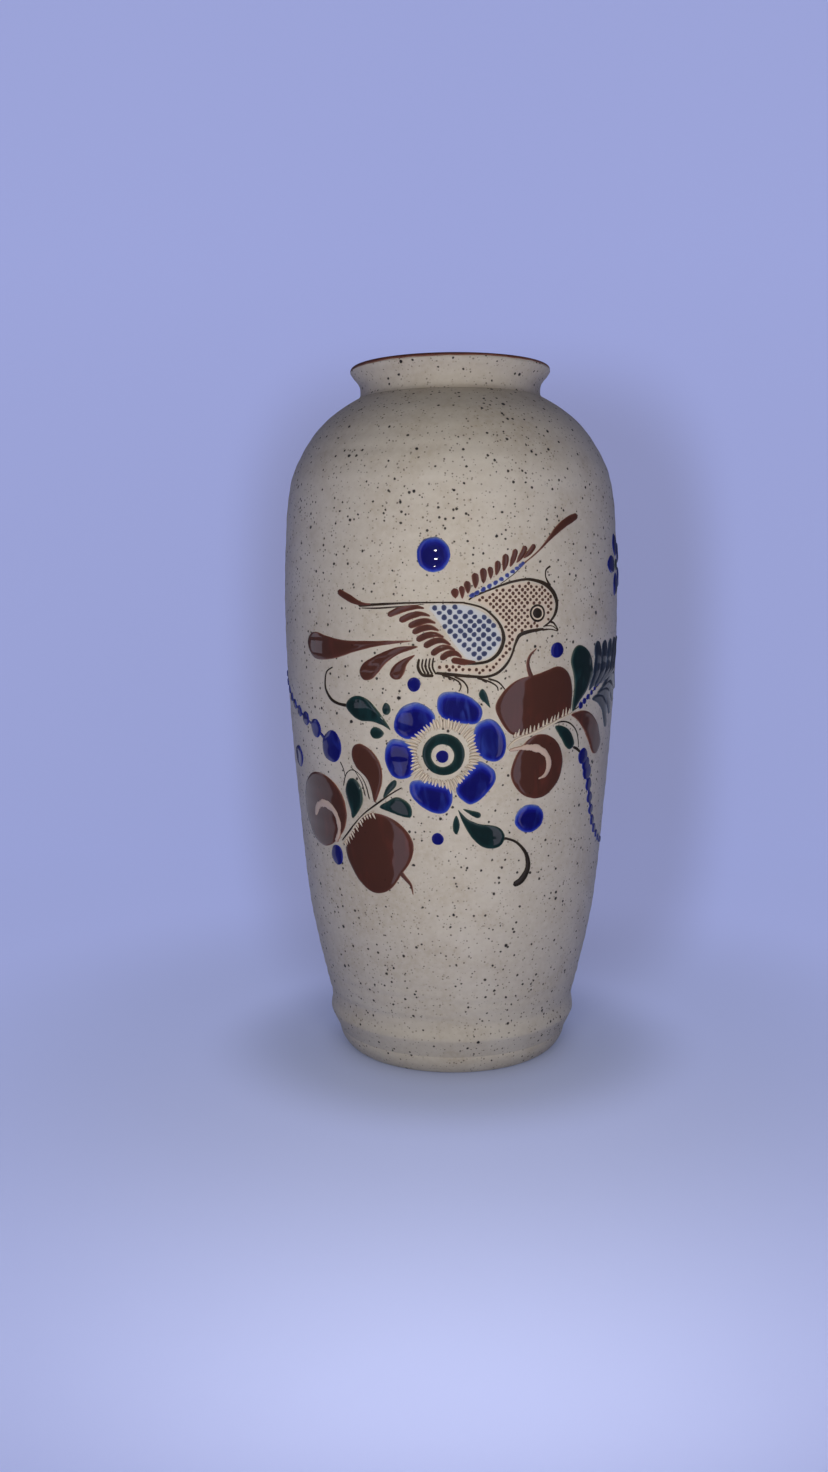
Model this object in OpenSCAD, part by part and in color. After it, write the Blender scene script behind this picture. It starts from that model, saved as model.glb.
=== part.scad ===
// Tall stoneware vase with a trumpet collar, a turned foot and raised
// enamel painting: a bird over a large flower, with buds, leaf sprays,
// bead strings and dots.
// Z is the pot's axis. The front, with the bird, faces -Y.

/* [Body] */
// Radius added to the whole outer wall
body_extra_r = 0; // [0:0.5:4]
// Thickness of the thrown wall
wall_t = 5.5; // [4:0.5:7]
// Thickness of the clay floor above the foot recess
floor_t = 16; // [12:0.5:20]

/* [Collar] */
// Radius of the mouth where the neck is narrowest
mouth_r = 28.8; // [26:0.2:30]

/* [Foot] */
// Inner radius of the turned foot ring
foot_in_r = 31.5; // [28:0.5:34]
// Depth of the recess under the foot
recess_h = 4; // [2:0.5:6]

/* [Glazes] */
// Thickness of the clear liner glaze inside
liner_t = 0.3; // [0.2:0.05:0.6]
// Thickness of the iron wash on the lip
wash_t = 0.3; // [0.2:0.05:0.6]
// Height of the thick cobalt and green enamels
enamel_t = 0.5; // [0.3:0.05:0.8]
// Height of the brown enamels
brown_t = 0.4; // [0.2:0.05:0.6]
// Height of the thin trailed lines
line_t = 0.3; // [0.2:0.05:0.5]

/* [Hidden] */

turn = 180;               // facets of the turned surfaces
unit_r = 60;              // wall positions are arc millimetres at this radius
seam_z = 12.5;            // foot ring meets the pot here
crease_z = 242.5;         // shoulder meets the collar here

// ---- curves through a few chosen points --------------------------------
function spline(a, b, c, d, t) =
    0.5 * (2*b + (c - a)*t + (2*a - 5*b + 4*c - d)*t*t + (3*b - a - 3*c + d)*t*t*t);
function open_curve(p, n) = concat(
    [for (i = [0:len(p)-2], k = [0:n-1])
        spline(p[max(i-1, 0)], p[i], p[i+1], p[min(i+2, len(p)-1)], k/n)],
    [p[len(p)-1]]);
function closed_curve(p, n) = [for (i = [0:len(p)-1], k = [0:n-1])
    spline(p[(i+len(p)-1) % len(p)], p[i], p[(i+1) % len(p)], p[(i+2) % len(p)], k/n)];
function unit(v) = v / max(norm(v), 0.0001);
function side(p, i) = let (d = unit(p[min(i+1, len(p)-1)] - p[max(i-1, 0)])) [-d[1], d[0]];
// a line moved sideways by w
function moved(p, w) = [for (i = [0:len(p)-1]) p[i] + side(p, i)*w];
function reversed(p) = [for (i = [len(p)-1:-1:0]) p[i]];

// ---- the pot's own profile ---------------------------------------------
wall_pts = open_curve([for (q = [
    [45.6, 12.5], [46.4, 14.5], [46.4, 16], [46.1, 18], [46.0, 20], [46.4, 22.4],
    [47.1, 25], [48.8, 32], [51.1, 42], [53.8, 56], [55.7, 72], [57.3, 90],
    [58.9, 108], [60.2, 126], [61.2, 144], [61.7, 162], [61.6, 178],
    [61, 192], [60.2, 204], [58.4, 214], [55, 222], [50.6, 229],
    [46.2, 234], [42, 237.5], [38, 240.2], [34, 242.5]])
    [q[0] + (q[1] > 20 && q[1] < 234 ? body_extra_r : 0), q[1]]], 2);
floor_z = recess_h + floor_t;
cavity_pts = open_curve([for (q = [
    [22, 0], [34, 1.5], [39.5, 5], [42.5, 12], [45, 22], [47.6, 36],
    [51.8, 70], [54.7, 106], [56.2, 142], [56, 165], [54.8, 183],
    [52.5, 193], [48.5, 202], [42.5, 210], [36, 216], [31, 219.5]])
    [q[0] + 5.5 - wall_t, floor_z + q[1]]], 2);

module vessel_body() color("wheat")
    rotate_extrude($fn = turn) polygon(concat(
        [[0, recess_h], [foot_in_r, recess_h], [foot_in_r, seam_z]], wall_pts,
        [[mouth_r, crease_z]], reversed(cavity_pts), [[0, floor_z]]));

collar_in = [[mouth_r, crease_z], [mouth_r, 246], [mouth_r + 0.8, 249],
    [mouth_r + 2.2, 251.3], [mouth_r + 4, 252.9]];
collar_out = [[36.6, 252.2], [35.6, 250.7], [34.3, 249.2], [33.3, 247.4],
    [33, 245.2], [33.2, 243.6], [34, crease_z]];
lip_top = [[mouth_r + 4, 252.9], [34.2, 253.6], [35.3, 253.7], [36.2, 253.3], [36.6, 252.2]];
lip_pts = open_curve(lip_top, 3);

module neck_collar() color("wheat")
    rotate_extrude($fn = turn) polygon(concat(
        open_curve(collar_in, 2), [for (i = [1:len(lip_pts)-1]) lip_pts[i]],
        [for (i = [1:12]) open_curve(collar_out, 2)[i]]));

module foot_ring() color("wheat")
    rotate_extrude($fn = turn) polygon([
        [foot_in_r, seam_z], [foot_in_r, 1.5], [foot_in_r + 1.2, 0], [37.8, 0],
        [39.4, 0.9], [41.1, 2.6], [42.4, 4.6], [43, 6.3], [43.2, 7.6], [44, 9.2],
        [44.9, 11], [45.6, seam_z]]);

module lip_wash() color("sienna")
    rotate_extrude($fn = turn)
        polygon(concat(lip_pts, reversed(moved(lip_pts, wash_t))));

collar_curve = open_curve(collar_in, 2);
liner_pts = concat([[0, floor_z]], cavity_pts, [for (i = [0:6]) collar_curve[i]]);
module liner_glaze() color("ivory")
    rotate_extrude($fn = turn)
        polygon(concat(liner_pts, reversed(moved(liner_pts, liner_t))));

// ---- enamel on the wall ------------------------------------------------
function band(z0, z1) = [for (i = [0:len(wall_pts)-1])
    if (wall_pts[min(i+1, len(wall_pts)-1)][1] > z0 && wall_pts[max(i-1, 0)][1] < z1)
        wall_pts[i]];
function wall_r(z) = lookup(z, [for (q = wall_pts) [q[1], q[0]]]);
function mean_s(p) = (min([for (q = p) q[0]]) + max([for (q = p) q[0]])) / 2;
function low_z(p) = min([for (q = p) q[1]]);
function high_z(p) = max([for (q = p) q[1]]);

// an outline as seen square on at azimuth s0, so that it can be cut radially
function flat(p, s0) = [for (q = p) [wall_r(q[1])*sin((q[0] - s0)/unit_r*180/PI), q[1]]];
// A flat-backed coat h thick on the wall between heights z0 and z1, cut to the
// outlines given as children, which are seen square on at s0.
module coat_at(s0, z0, z1, h) {
    b = band(z0, z1);
    intersection() {
        rotate_extrude($fn = turn)
            polygon(concat(b, [for (q = reversed(b)) q + [h, 0]]));
        rotate([0, 0, s0/unit_r*180/PI]) rotate([90, 0, 0])
            translate([0, 0, 20]) linear_extrude(height = 60) children();
    }
}
// One coat. p is its outline, each point [arc millimetres to the right of
// the front, height].
module coat(p, h) coat_at(mean_s(p), low_z(p), high_z(p), h) polygon(flat(p, mean_s(p)));
// a soft-edged patch through chosen corner points
module patch(p, h, n = 3) coat(closed_curve(p, n), h);
// an oval bead
module bead(s, z, a, b, h, tilt = 0, n = 20) coat([for (i = [0:n-1]) let (t = 360*i/n)
    [s + a*cos(t)*cos(tilt) - b*sin(t)*sin(tilt), z + a*cos(t)*sin(tilt) + b*sin(t)*cos(tilt)]], h);
// a brush stroke along p: w0 wide at the start, w1 at the end, w at its
// widest, which lies at the fraction m of its length
function stroke_pts(p, w0, w, w1, m, n = 3) =
    let (c = open_curve(p, n), l = len(c) - 1,
        half = [for (i = [0:l]) let (u = i/l)
            (u < m ? w0 + (w - w0)*sin(90*u/m) : w1 + (w - w1)*sqrt(max(0, 1 - pow((u - m)/(1 - m), 2))))/2])
    concat([for (i = [0:l]) c[i] + side(c, i)*half[i]],
        [for (i = [l:-1:0]) c[i] - side(c, i)*half[i]]);
module stroke(p, w0, w, w1, m, h, n = 3) coat(stroke_pts(p, w0, w, w1, m, n), h);
module line(p, w, h = line_t, n = 3) stroke(p, w, w, w*0.8, 0.5, h, n);

// ---- the large flower ---------------------------------------------------
module flower_petals() color("mediumblue") {
    patch([[-4.5, 138.5], [-2, 140], [2, 139.6], [6, 138], [9.3, 135], [9.8, 132],
        [8, 129.2], [4, 129.2], [-1, 130.3], [-4, 132], [-5, 135]], enamel_t);
    patch([[-12.5, 136.3], [-8.5, 135], [-5.8, 132], [-6.6, 129], [-9.5, 126.5],
        [-13, 124.2], [-16.5, 124.2], [-19.6, 126.8], [-19.4, 130.5], [-17, 134.4]], enamel_t);
    patch([[-21.5, 123.2], [-18, 123.6], [-14.5, 122.2], [-13, 118.8], [-13.2, 114.5],
        [-14.2, 111.4], [-17.5, 110.1], [-20.8, 111], [-23, 114.4], [-23.4, 119]], enamel_t);
    patch([[-13.6, 109.6], [-9, 109.8], [-4, 108.6], [-0.6, 107], [-0.2, 102.5],
        [-2.4, 99], [-6, 98.6], [-10.5, 100.6], [-14, 104], [-15, 107.4]], enamel_t);
    patch([[8.4, 116.2], [11.4, 115.4], [14.4, 112.8], [14.8, 109.6], [12, 105.4],
        [8.4, 102.4], [5.4, 101.8], [2, 104.6], [1.4, 108], [4.6, 112.4]], enamel_t);
    patch([[10, 130.2], [13, 130.5], [16, 128.2], [18.2, 123.6], [17.8, 118.4],
        [15, 116.2], [11, 117], [7.8, 120], [7, 124.4], [7.8, 128.4]], enamel_t);
}
module flower_ring() color("darkslategray") difference() {
    bead(-3, 118.8, 7.2, 7.2, enamel_t, 0, 40);
    bead(-3.3, 118.5, 3.9, 3.9, 4, 0, 28);
}
module flower_centre() color("mediumblue") bead(-3.3, 118, 2.1, 2.1, enamel_t, 0, 24);

// ---- the bird ------------------------------------------------------------
module bird_outline() color("saddlebrown") {
    // back of the head, crown and cheek
    line([[7.6, 171.8], [12, 173.3], [16, 174.9], [20, 176.1], [25, 176.7], [30, 175.9],
        [33.2, 174.2], [35.6, 171.6], [36.5, 168.6], [35.9, 165.4], [34.2, 163.4]], 0.9);
    // throat, breast and belly
    line([[30.6, 160.2], [26, 159.5], [22.4, 158.4], [20.9, 155.6], [19.7, 152], [17.8, 148.7],
        [14.8, 146], [11, 144.8], [6, 145], [0, 145.6], [-5.4, 146.2]], 0.8);
    // wing edge
    line([[4.6, 169.2], [9.2, 167.8], [13.2, 164.9], [16, 161], [16.8, 157], [15.4, 153],
        [12.2, 150], [8.6, 149]], 0.6);
    // bill
    line([[34.4, 162.4], [36, 161.6], [37.4, 159.9]], 0.6);
    line([[31.6, 159.6], [34, 160], [36.8, 159.2]], 0.6);
    // crest
    stroke([[33.6, 175], [32, 177.6], [32.2, 180], [34, 181.2]], 1.0, 0.7, 0.4, 0.3, line_t);
    // coiled tail root
    for (i = [0:4]) line([[-10.6 + 1.2*i, 150.6 + 0.2*i], [-11 + 1.2*i, 148.2], [-9.9 + 1.2*i, 145.8]], 0.5);
}
module bird_wing() color("lightsteelblue")
    patch([[-7.6, 168.2], [0, 168.6], [5.4, 168], [10.2, 165.8], [13.8, 162.4], [15.9, 157.8],
        [14.6, 153.8], [11.8, 151.2], [8, 150.4], [4.8, 151], [2.6, 153.4], [0.4, 156.2],
        [-1.6, 159.2], [-3.6, 162.2], [-5.6, 165.2]], 0.2);
module wing_feathers() color("saddlebrown") {
    // long top plume
    stroke([[4, 169.3], [-6, 169.5], [-16, 169.3], [-26, 168.9], [-31, 169], [-35, 170.5], [-40.4, 173.2]],
        0.6, 2.4, 0.6, 0.84, brown_t);
    stroke([[-8.9, 167.5], [-12, 167.8], [-17, 166.8], [-21.2, 165.2]], 0.4, 2.0, 0.3, 0.7, brown_t);
    stroke([[-7.1, 165], [-10, 165.6], [-13.5, 164.9], [-17.2, 163.3]], 0.4, 2.0, 0.3, 0.6, brown_t);
    stroke([[-5.2, 162.6], [-8, 163.3], [-11, 162.7], [-14.2, 161.5]], 0.4, 2.0, 0.3, 0.6, brown_t);
    stroke([[-4.2, 160.1], [-7, 161.1], [-10, 160.7], [-12.9, 159.4]], 0.4, 2.0, 0.3, 0.6, brown_t);
    stroke([[-2.6, 158], [-5.4, 158.8], [-8.4, 158.4], [-11.6, 156.9]], 0.4, 2.0, 0.3, 0.6, brown_t);
    stroke([[-0.4, 155.4], [-3.2, 156.8], [-6.2, 156.4], [-9.2, 154.8]], 0.4, 1.9, 0.3, 0.6, brown_t);
    stroke([[1, 153.6], [-1.4, 154.6], [-4.2, 154], [-6.8, 152.2]], 0.4, 1.9, 0.3, 0.6, brown_t);
    stroke([[3.2, 151.2], [1, 152.6], [-1.6, 152.3], [-3.8, 150.6]], 0.4, 1.8, 0.3, 0.6, brown_t);
    stroke([[7.6, 149.8], [4.6, 149.7], [2, 150.1], [-0.2, 150.4]], 0.4, 1.5, 0.3, 0.6, brown_t);
}
// base, tip and width of the short feathers on the raised wing
raised = [[[1, 171], [0.6, 174], 1.8], [[3.2, 171], [2.8, 174.8], 1.4], [[5, 172.6], [4.5, 176.4], 1.7],
    [[7.4, 174.4], [7.1, 179], 1.8], [[10, 176], [9.8, 180.6], 1.8], [[12.4, 177.4], [12.1, 181], 1.4],
    [[14.3, 178.6], [14.8, 183], 1.6], [[16.8, 180], [17.5, 185.2], 1.7], [[19.2, 181.5], [21, 186.8], 1.6],
    [[21.6, 182.8], [24.6, 187.8], 1.6], [[24.2, 184.2], [28, 188.3], 1.5]];
module raised_wing() color("saddlebrown") {
    for (f = raised) stroke([f[0], (f[0] + f[1])/2, f[1]], 0.5, f[2] + 0.2, 0.3, 0.65, brown_t, 4);
    // pale strip under the feathers
    color("lightsteelblue") stroke([[6.6, 172], [11, 174.6], [16, 177.4], [20.4, 180.2]], 1.6, 1.6, 1.2, 0.5, 0.2);
    // long plume
    stroke([[22.6, 181.4], [26.6, 184], [31, 187.6], [35.6, 192], [41, 195.8], [46.6, 198.2]], 0.5, 2.8, 0.5, 0.82, brown_t);
}
module tail_feathers() color("saddlebrown") {
    patch([[-57.2, 155], [-55.6, 158.2], [-51.5, 159.2], [-46, 158], [-38, 156.8], [-28, 156.6],
        [-16.5, 156.8], [-25, 154.9], [-34, 152.8], [-42, 150.6], [-48.5, 149.8], [-54, 150.6]], brown_t);
    patch([[-32, 146], [-30.6, 149], [-26, 151.6], [-21, 153.8], [-16, 155], [-12, 154.9],
        [-17.4, 152.4], [-22, 149.4], [-25, 146], [-27.6, 143.8], [-30.6, 143.6]], brown_t);
    patch([[-20.8, 145.4], [-20, 147.8], [-17.4, 150], [-12.6, 152.2], [-14.6, 149.4],
        [-15.8, 146.4], [-17.2, 144.2], [-19.4, 144]], brown_t);
}
module bird_eye() color("black") {
    bead(28.8, 165.6, 1.6, 1.6, line_t, 0, 20);
    difference() {
        bead(28.8, 165.6, 2.8, 2.8, line_t, 0, 28);
        bead(28.8, 165.6, 2.3, 2.3, 4, 0, 28);
    }
}
module bird_legs() color("saddlebrown") {
    line([[-3, 145.2], [-0.4, 144.6], [1.9, 143.4], [2.8, 141.9], [2.4, 140.4]], 0.4);
    line([[1.2, 144.6], [3.4, 143.4], [4.9, 141.4], [5, 139.4]], 0.4);
    line([[8.6, 144], [12, 143.2], [14.6, 141.6], [15.2, 140]], 0.4);
    line([[12.6, 143.8], [15.4, 142.7], [17, 141]], 0.4);
}

// ---- buds ----------------------------------------------------------------
module plain_buds() color("brown") {
    // upper bud, its curl rising from the top
    patch([[14.3, 134], [15.6, 138], [18.8, 141.6], [23, 143.8], [25, 145.2], [24.6, 148], [25, 150.8],
        [28.6, 153.8], [26.4, 150.8], [26.2, 148], [27.6, 145.4], [33, 146.4],
        [37.4, 147.6], [41.4, 146], [44, 142.2], [44.8, 137], [43.8, 131.6], [38.5, 129.4], [33, 127.6],
        [27.5, 125.4], [23.5, 124.6], [20, 125.2], [16.8, 128.6]], brown_t);
    // lower bud, its curl hanging from the foot
    patch([[-33, 96.4], [-29, 97.7], [-24, 97], [-18.8, 94.4], [-14.9, 89.2], [-14, 85], [-15.4, 80.4],
        [-15.8, 77.4], [-14.4, 74], [-14.4, 69.6], [-16, 72.8], [-18.4, 75],
        [-22.5, 71.8], [-27, 69.2], [-32, 69.2], [-37, 72.4], [-41, 77.8],
        [-43, 83.4], [-40.4, 88.4], [-36.8, 92.8]], brown_t);
}
// scrolled buds: a round bud with a hook of bare clay combed out of it
module scroll_buds() color("brown") {
    difference() {
        patch([[20.3, 111.4], [21.4, 116.6], [24.6, 121.4], [29, 124.4], [34, 124.4], [38.8, 121.4],
            [41.5, 116.4], [41.4, 110.8], [39, 106.4], [35, 103.3], [30.4, 102.4], [25.6, 103.8], [22, 107.2]], brown_t);
        stroke([[19, 119.6], [25, 120.4], [30, 119.8], [33.8, 117.4], [35, 113.8], [33.8, 110.6], [30.8, 109.4]],
            1.2, 1.8, 0.8, 0.5, 4);
    }
    difference() {
        patch([[-69, 96.6], [-67.8, 102], [-64, 106.8], [-58.5, 109.4], [-52, 109.2], [-46, 106.4],
            [-42.3, 102], [-41, 96.6], [-42.4, 91.4], [-46, 87.2], [-51.5, 83.6], [-57.5, 82.8], [-63.6, 85.4], [-67.6, 90.6]], brown_t);
        stroke([[-60.8, 94.4], [-58.4, 98], [-54, 99.8], [-49.2, 98.2], [-46.4, 94], [-46.4, 90], [-49.5, 83.5]],
            0.8, 2, 1.4, 0.5, 4);
    }
}

// ---- leaves ----------------------------------------------------------------
module brown_leaves() color("brown") {
    patch([[-37, 117.6], [-35.8, 120.6], [-32.6, 121.4], [-28.6, 119.4], [-25.6, 115.6], [-24.6, 111],
        [-25.8, 106], [-28.4, 101.4], [-29.4, 105.4], [-31.4, 109.8], [-35.4, 113.2]], brown_t);
    patch([[44.8, 130.2], [48, 131.4], [52, 131.5], [56.4, 130.2], [61, 127], [64.4, 122.8], [65.7, 118.6],
        [63, 115.4], [59.4, 115.8], [56.4, 119.4], [52.6, 124.2], [48.6, 128]], brown_t);
}
module green_pods() color("darkslategray") {
    patch([[-38, 134.3], [-36.6, 137], [-33, 138.1], [-29.4, 137], [-26, 133.9], [-23, 130], [-21, 126.8],
        [-24, 128.2], [-28, 129.3], [-32.4, 129.4], [-36, 131.2]], enamel_t);
    patch([[2, 99.6], [5, 96.8], [9, 94.9], [13.4, 94.2], [17, 93], [19, 90], [17.8, 87], [14.4, 85.8],
        [10.4, 86.8], [6.8, 90], [4, 94.4]], enamel_t);
}
module green_leaves() color("darkgreen") {
    patch([[-40.8, 105], [-39.4, 108.4], [-36.8, 109.2], [-34.2, 107.2], [-33.1, 103.4], [-34, 99.4],
        [-38.3, 94.8], [-39.2, 98.2], [-40.4, 101.6]], enamel_t);
    patch([[-26, 100.2], [-23.4, 102], [-20, 103.6], [-16.4, 102.6], [-14.4, 99.8], [-14.9, 97],
        [-18.4, 97.2], [-22.4, 98.4]], enamel_t);
    patch([[43.4, 149.8], [45.2, 153.6], [48.6, 154.2], [52.6, 152.4], [55.4, 148.2], [55.4, 143],
        [52.6, 138.4], [48.8, 134.8], [45.6, 132.2], [45.6, 137], [45.6, 142], [44.2, 146]], enamel_t);
    patch([[37.4, 126.6], [40.6, 126.9], [44, 125.4], [46.4, 122.6], [47, 119.8], [45, 118.4],
        [42.6, 119.6], [40.2, 122.8]], enamel_t);
}
module small_leaves() color("darkslategray") {
    patch([[-23.9, 134], [-22.8, 136], [-21.2, 135.2], [-20.8, 133.2], [-22, 131.8], [-23.4, 132.2]], brown_t);
    patch([[-28.9, 125.6], [-27.4, 127.6], [-25, 127.2], [-23.6, 125.6], [-25, 123.8], [-27.6, 123.6]], brown_t);
    patch([[8.6, 139.2], [9.8, 140.8], [11.2, 139.4], [12, 137], [12.5, 134.6], [10.8, 136], [9.2, 137.4]], brown_t);
    patch([[3.9, 99.9], [6.4, 99.6], [9.4, 98.7], [9.8, 97.2], [8.4, 96.9], [6, 98.2]], brown_t);
    patch([[1.2, 97.6], [2.3, 96], [2.5, 93.6], [1.5, 91.4], [0.3, 92.4], [0.2, 95.2]], brown_t);
    patch([[-24.6, 103.4], [-22, 105.4], [-19.8, 107.6], [-20.2, 109.7], [-22, 108.8], [-23.8, 106.4]], brown_t);
}
module leaf_fan() color("slategray") {
    // upper feathers
    for (f = [0:4]) stroke([[54 + 3.2*f, 138.6 + 0.9*f], [58 + 4.6*f, 143.2 + 0.6*f],
        [59.4 + 5*f, 148.6 + 0.4*f], [58 + 6*f, 154 + 0.2*f]], 0.5, 4 - 0.2*f, 0.6, 0.72, enamel_t, 4);
    // lower feathers
    for (f = [0:3]) stroke([[56.6 + 3.4*f, 134.8 + 1.2*f], [61.6 + 3.4*f, 133.8 + 2.4*f],
        [66.6 + 3.8*f, 130.2 + 3.2*f], [70 + 4.6*f, 124 + 4.4*f]], 0.5, 3.2 - 0.1*f, 0.6, 0.72, enamel_t, 4);
}

// ---- trailed lines ---------------------------------------------------------
module stem_lines() color("black") {
    // tendrils of the two pods
    stroke([[-38.7, 134.4], [-42, 134.9], [-45.4, 136.4], [-47.6, 139.6], [-47.8, 143], [-46.6, 145.8], [-43.6, 147.4]],
        0.8, 0.9, 0.4, 0.3, line_t);
    stroke([[19.6, 89.2], [22.4, 88.2], [25.2, 86.2], [27.8, 83], [28.8, 79.4], [28, 76.2], [25.8, 73.6], [23.2, 72.6]],
        0.8, 1.9, 1.2, 0.8, line_t);
    // stem from the lower bud to the flower
    line([[-43.4, 87.6], [-39, 91.8], [-34, 96.6], [-30, 99.4], [-26.8, 101.4], [-22, 104.6], [-18, 106.9]], 0.5);
    // loops round the leaves
    line([[-41.6, 106.4], [-40, 110.4], [-37, 112], [-33.6, 110.2], [-31.8, 106.4], [-30.8, 102.4]], 0.4);
    line([[36.4, 127.7], [41, 128.3], [45.2, 127], [48.6, 123.6], [49.6, 119.6]], 0.5);
    // rib of the leaf fan
    line([[58.8, 139], [64, 141.2], [70, 143.4], [78, 145.4]], 0.6);
}

// ---- dots and beads ----------------------------------------------------------
module blue_dots() color("mediumblue") {
    bead(-6, 185, 5.5, 5.8, enamel_t, 0, 32);
    bead(37, 153, 2.7, 2.7, enamel_t);
    bead(-12.6, 142.3, 2.2, 2.5, enamel_t);
    bead(-5.3, 89.6, 2.2, 2.1, enamel_t);
    bead(28.5, 95.6, 6, 5, enamel_t, 0, 32);
    bead(-48, 80.6, 3.4, 3.6, enamel_t);
    bead(-72, 113.6, 4.2, 4, enamel_t);
    bead(-100, 88, 3.4, 3.4, enamel_t);
    bead(118, 150, 3.2, 3.2, enamel_t);
    bead(-112, 168, 3.6, 3.6, enamel_t);
    bead(150, 186, 4.4, 4.6, enamel_t);
    bead(152, 78, 3, 3, enamel_t);
}
// place and radius of each bead, each string running out from its root
left_string = [[-46.5, 119.6, 5.6], [-55, 125.4, 3.4], [-61.8, 128.2, 2.6], [-67.2, 130.4, 2.1],
    [-71.8, 132.6, 1.8], [-76, 134.8, 1.6], [-80, 137.2, 1.5], [-83.8, 139.8, 1.4], [-87.4, 142.6, 1.3]];
right_string = [[53, 115.2, 2.9], [56.2, 110, 2.7], [58.4, 104.6, 2.4], [60.2, 99.6, 2.2], [62.2, 95, 2],
    [64.4, 90.8, 1.9], [67.2, 87.4, 1.7], [70.4, 84.8, 1.5], [74, 82.8, 1.4], [77.8, 81.4, 1.3], [81.6, 80.6, 1.2]];
module bead_strings() color("mediumblue") {
    for (b = concat(left_string, right_string)) bead(b[0], b[1], b[2]*0.92, b[2], enamel_t, 0, b[2] > 3 ? 24 : 14);
    // beads on the rib of the leaf fan
    for (i = [0:3]) bead(49.6 + 2.2*i, 133 + 1.7*i, 1.05 - 0.1*i, 1.05 - 0.1*i, enamel_t, 0, 14);
}

// ---- side and back -----------------------------------------------------------
module side_flower() color("mediumblue") {
    for (i = [0:4]) bead(79 + 8*cos(180 + 72*i), 182 + 7.4*sin(180 + 72*i), 4.1, 3.3, enamel_t, 180 + 72*i);
    color("darkslategray") bead(79, 182, 2.4, 2.4, enamel_t);
}
module back_flower() color("mediumblue") {
    for (i = [0:5]) bead(188 + 12*cos(30 + 60*i), 128 + 12*sin(30 + 60*i), 5.4, 4.6, enamel_t, 30 + 60*i);
    color("darkslategray") difference() {
        bead(188, 128, 5, 5, enamel_t, 0, 28);
        bead(188, 128, 2.4, 2.4, 4, 0, 20);
    }
}
// one pointed leaf from its root r towards its round end e
module leaf(r, e, w, bend, h) stroke([r, (2*r + e)/3 + side([r, e], 0)*bend, (r + 2*e)/3 + side([r, e], 0)*bend, e],
    0.3, w, 0.8, 0.66, h, 4);
module back_leaves() {
    color("darkgreen") for (m = [-1, 1]) {
        leaf([188 + m*19, 134], [188 + m*42, 146], 8, m*2, enamel_t);
        leaf([188 + m*19, 112], [188 + m*36, 98], 7, -m*2, enamel_t);
    }
    color("brown") for (m = [-1, 1]) {
        leaf([188 + m*21, 125], [188 + m*46, 123], 10, m*2, brown_t);
        leaf([188 + m*8, 110], [188 + m*14, 84], 9, -m*2, brown_t);
    }
    color("slategray") for (m = [-1, 0, 1]) leaf([188 + m*5, 147], [188 + m*17, 172 - 4*abs(m)], 6, m*1.5, enamel_t);
}

vessel_body();
neck_collar();
foot_ring();
lip_wash();
liner_glaze();
flower_petals();
flower_ring();
flower_centre();
bird_outline();
bird_wing();
wing_feathers();
raised_wing();
tail_feathers();
bird_eye();
bird_legs();
plain_buds();
scroll_buds();
brown_leaves();
green_pods();
green_leaves();
small_leaves();
leaf_fan();
stem_lines();
blue_dots();
bead_strings();
side_flower();
back_flower();
back_leaves();
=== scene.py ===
import math
import random

import bpy
import numpy as np
from mathutils import Matrix, Vector
from mathutils.geometry import delaunay_2d_cdt


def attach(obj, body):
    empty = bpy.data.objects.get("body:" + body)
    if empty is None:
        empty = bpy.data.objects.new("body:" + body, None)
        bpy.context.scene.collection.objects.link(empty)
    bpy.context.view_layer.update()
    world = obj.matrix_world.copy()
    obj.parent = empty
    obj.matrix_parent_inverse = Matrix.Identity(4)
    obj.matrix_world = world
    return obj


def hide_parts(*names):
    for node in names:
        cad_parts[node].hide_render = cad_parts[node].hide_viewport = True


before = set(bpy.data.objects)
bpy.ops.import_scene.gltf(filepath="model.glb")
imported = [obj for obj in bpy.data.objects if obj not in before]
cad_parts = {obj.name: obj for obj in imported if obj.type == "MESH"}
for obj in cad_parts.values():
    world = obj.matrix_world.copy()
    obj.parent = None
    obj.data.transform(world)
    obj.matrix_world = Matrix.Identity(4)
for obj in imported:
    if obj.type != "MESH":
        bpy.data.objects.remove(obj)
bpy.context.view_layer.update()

MM = 0.001
UNIT = 60.0          # a wall position s is arc millimetres at this radius
rng = random.Random(7)
nrng = np.random.default_rng(11)


# ------------------------------------------------------------------ curves
def spline_open(p, n=8):
    p = np.asarray(p, float)
    out = []
    for i in range(len(p) - 1):
        a, b, c, d = p[max(i - 1, 0)], p[i], p[i + 1], p[min(i + 2, len(p) - 1)]
        for k in range(n):
            t = k / n
            out.append(0.5 * (2 * b + (c - a) * t + (2 * a - 5 * b + 4 * c - d) * t * t + (3 * b - a - 3 * c + d) * t ** 3))
    out.append(p[-1])
    return np.array(out)


def spline_closed(p, n=8):
    p = np.asarray(p, float)
    m = len(p)
    out = []
    for i in range(m):
        a, b, c, d = p[(i - 1) % m], p[i], p[(i + 1) % m], p[(i + 2) % m]
        for k in range(n):
            t = k / n
            out.append(0.5 * (2 * b + (c - a) * t + (2 * a - 5 * b + 4 * c - d) * t * t + (3 * b - a - 3 * c + d) * t ** 3))
    return np.array(out)


def resample(p, step, closed):
    q = np.vstack([p, p[:1]]) if closed else p
    d = np.r_[0, np.cumsum(np.hypot(*np.diff(q, axis=0).T))]
    n = max(4 if not closed else 8, int(round(d[-1] / step)))
    t = np.linspace(0, d[-1], n + 1)
    r = np.c_[np.interp(t, d, q[:, 0]), np.interp(t, d, q[:, 1])]
    return r[:-1] if closed else r


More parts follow.
